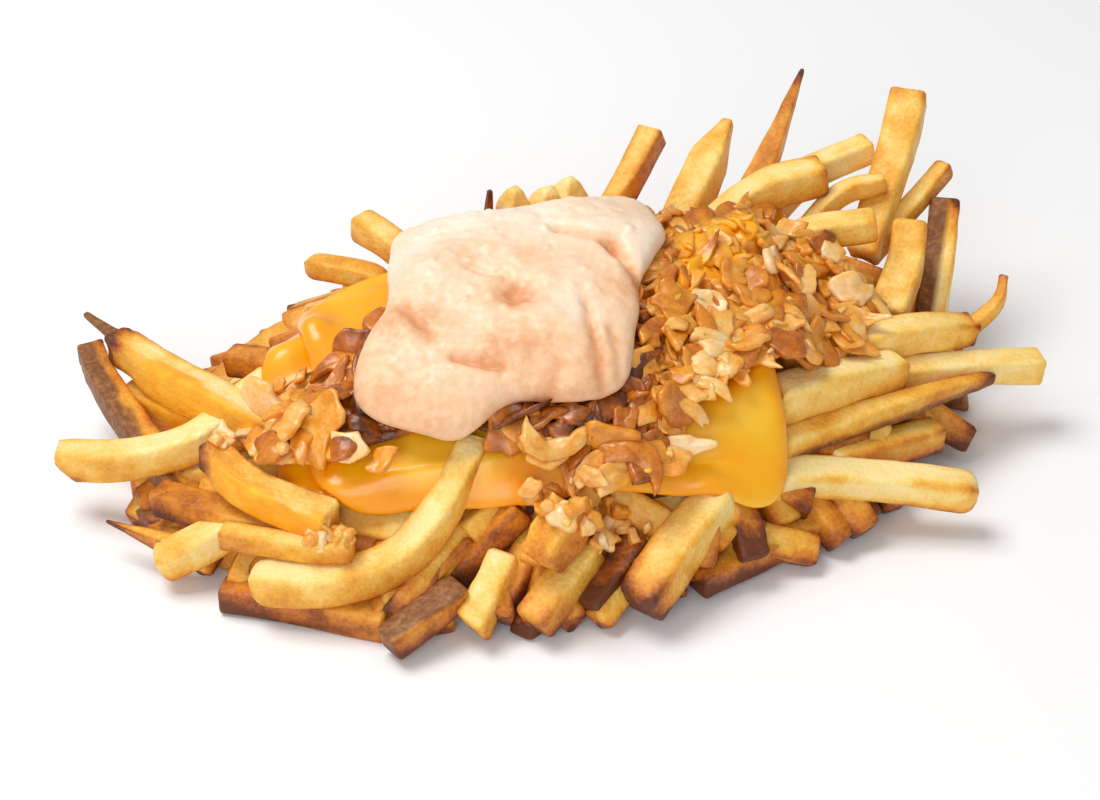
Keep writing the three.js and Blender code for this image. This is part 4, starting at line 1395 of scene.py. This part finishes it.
def pink_sauce():
    finish = Finish("pink_sauce")
    broad = finish.group(MOTTLING, "Mask", Scale=110, Low=0.35, High=0.65)
    small = finish.group(MOTTLING, "Mask", Scale=620, Low=0.42, High=0.62)
    # Higher values are more tan; at the front and in the creases that is painted shade.
    pink = finish.varied(finish.look("pink"), broad, -0.1, 0.1)
    pink = finish.varied(pink, small, -0.05, 0.06)
    finish.feed("Base Color", finish.ramp(pink, [
        (0.0, (253, 240, 222)), (0.35, (251, 222, 192)), (0.7, (244, 196, 152)), (1.0, (224, 156, 106)),
    ]))
    finish.feed("Roughness", finish.spread(small, 0, 1, 0.42, 0.6))
    finish.constant(Subsurface_Weight=0.18, Subsurface_Scale=0.0015, Coat_Weight=0.06, Coat_Roughness=0.25)
    finish.shader.inputs["Subsurface Radius"].default_value = (1.0, 0.65, 0.45)
    finish.bump(finish.group(BLISTERS, "Height", Scale=800, Blisters=0.5), 0.0004, 0.5)
    return finish.material


# STUDIO


def studio():
    floor_mesh = bpy.data.meshes.new("floor")
    far = 3.0
    corners = [(-far, -far, 0), (far, -far, 0), (far, far, 0), (-far, far, 0)]
    floor_mesh.from_pydata(corners, [], [(0, 1, 2, 3)])
    floor = bpy.data.objects.new("floor", floor_mesh)
    bpy.context.scene.collection.objects.link(floor)
    paint = Finish("floor_white")
    paint.constant(Base_Color=srgb(250, 250, 250), Roughness=0.9, Specular_IOR_Level=0.1)
    floor_mesh.materials.append(paint.material)

    world = bpy.data.worlds.new("studio")
    world.use_nodes = True
    world.node_tree.nodes["Background"].inputs["Color"].default_value = (1, 1, 1, 1)
    world.node_tree.nodes["Background"].inputs["Strength"].default_value = 0.4
    bpy.context.scene.world = world
    lights = {
        "key": ((-0.32, 0.05, 0.8), 0.42, 4.7),
        "front": ((-0.15, -0.77, 0.45), 0.5, 2.5),
    }
    for name, (where, size, power) in lights.items():
        light = bpy.data.lights.new(name, "AREA")
        light.size = size
        light.energy = power
        lamp = bpy.data.objects.new(name, light)
        lamp.location = where
        lamp.rotation_euler = (Vector((0, 0, 0.02)) - lamp.location).to_track_quat("-Z", "Y").to_euler()
        bpy.context.scene.collection.objects.link(lamp)


def camera():
    sensor = 36
    lens = bpy.data.cameras.new("camera")
    lens.sensor_width = sensor
    lens.lens = PIXELS_PER_MM * VIEW_DISTANCE / PICTURE[0] * sensor
    lens.clip_start = 0.01
    seen_from = bpy.data.objects.new("camera", lens)
    seen_from.location = (VIEW_POINT - np.array([0, OUTLINE_MIDDLE_Y, 0])) * MM
    seen_from.rotation_euler = (math.pi / 2 - VIEW_ELEVATION, 0, 0)
    bpy.context.scene.collection.objects.link(seen_from)
    bpy.context.scene.camera = seen_from


fries, bent_fry = fry_pile()
bed = draped_bed(fries.tree())
floor_of_onions = onion_floor(bed)


def back_underside(x, y):
    return bed(x, y) + GAP


def front_underside(x, y):
    return bed(x, y) + GAP + slice_lift(BACK_EDGE, x, y)


press_down(fries, [(BACK_EDGE, back_underside), (FRONT_EDGE, front_underside), (ONION_EDGE, floor_of_onions)])
fries.add(bent_fry.points[0], bent_fry.faces, **{name: values[0] for name, values in bent_fry.looks.items()})
back_cheese = cheese_slice(BACK_EDGE, back_underside, 1)
front_cheese = cheese_slice(FRONT_EDGE, front_underside, 2)
mash = onion_mash(floor_of_onions)
solid_food = Pile()
for pile in (fries, back_cheese, front_cheese, mash):
    solid_food.add(np.concatenate(pile.points), pile.faces)

potato, cheese, onion = fried_potato(), melted_cheese(), grilled_onion()
fries.build("fries_heap", potato, "fried_potato", "fries")
heap_core().build("heap_inside_painted_shade", heap_inside_painted_shade(), "fried_potato")
back_cheese.build("back_slice", cheese, "melted_cheese", "cheese_slice_back")
front_cheese.build("front_slice", cheese, "melted_cheese", "cheese_slice_front")
melted_bits(solid_food.tree()).build("melted_bits", cheese, "melted_cheese")
mash.build("onion_mash", onion, "grilled_onion", "grilled_onions")
onion_pieces(onion_top(floor_of_onions)).build("onion_pieces", onion, "grilled_onion")
crumbs(solid_food.tree()).build("crumbs", onion, "grilled_onion")
sauce_spoonful().build("sauce_spoonful", pink_sauce(), "pink_sauce", "sauce")
studio()
camera()
bpy.context.scene.view_settings.view_transform = "Standard"
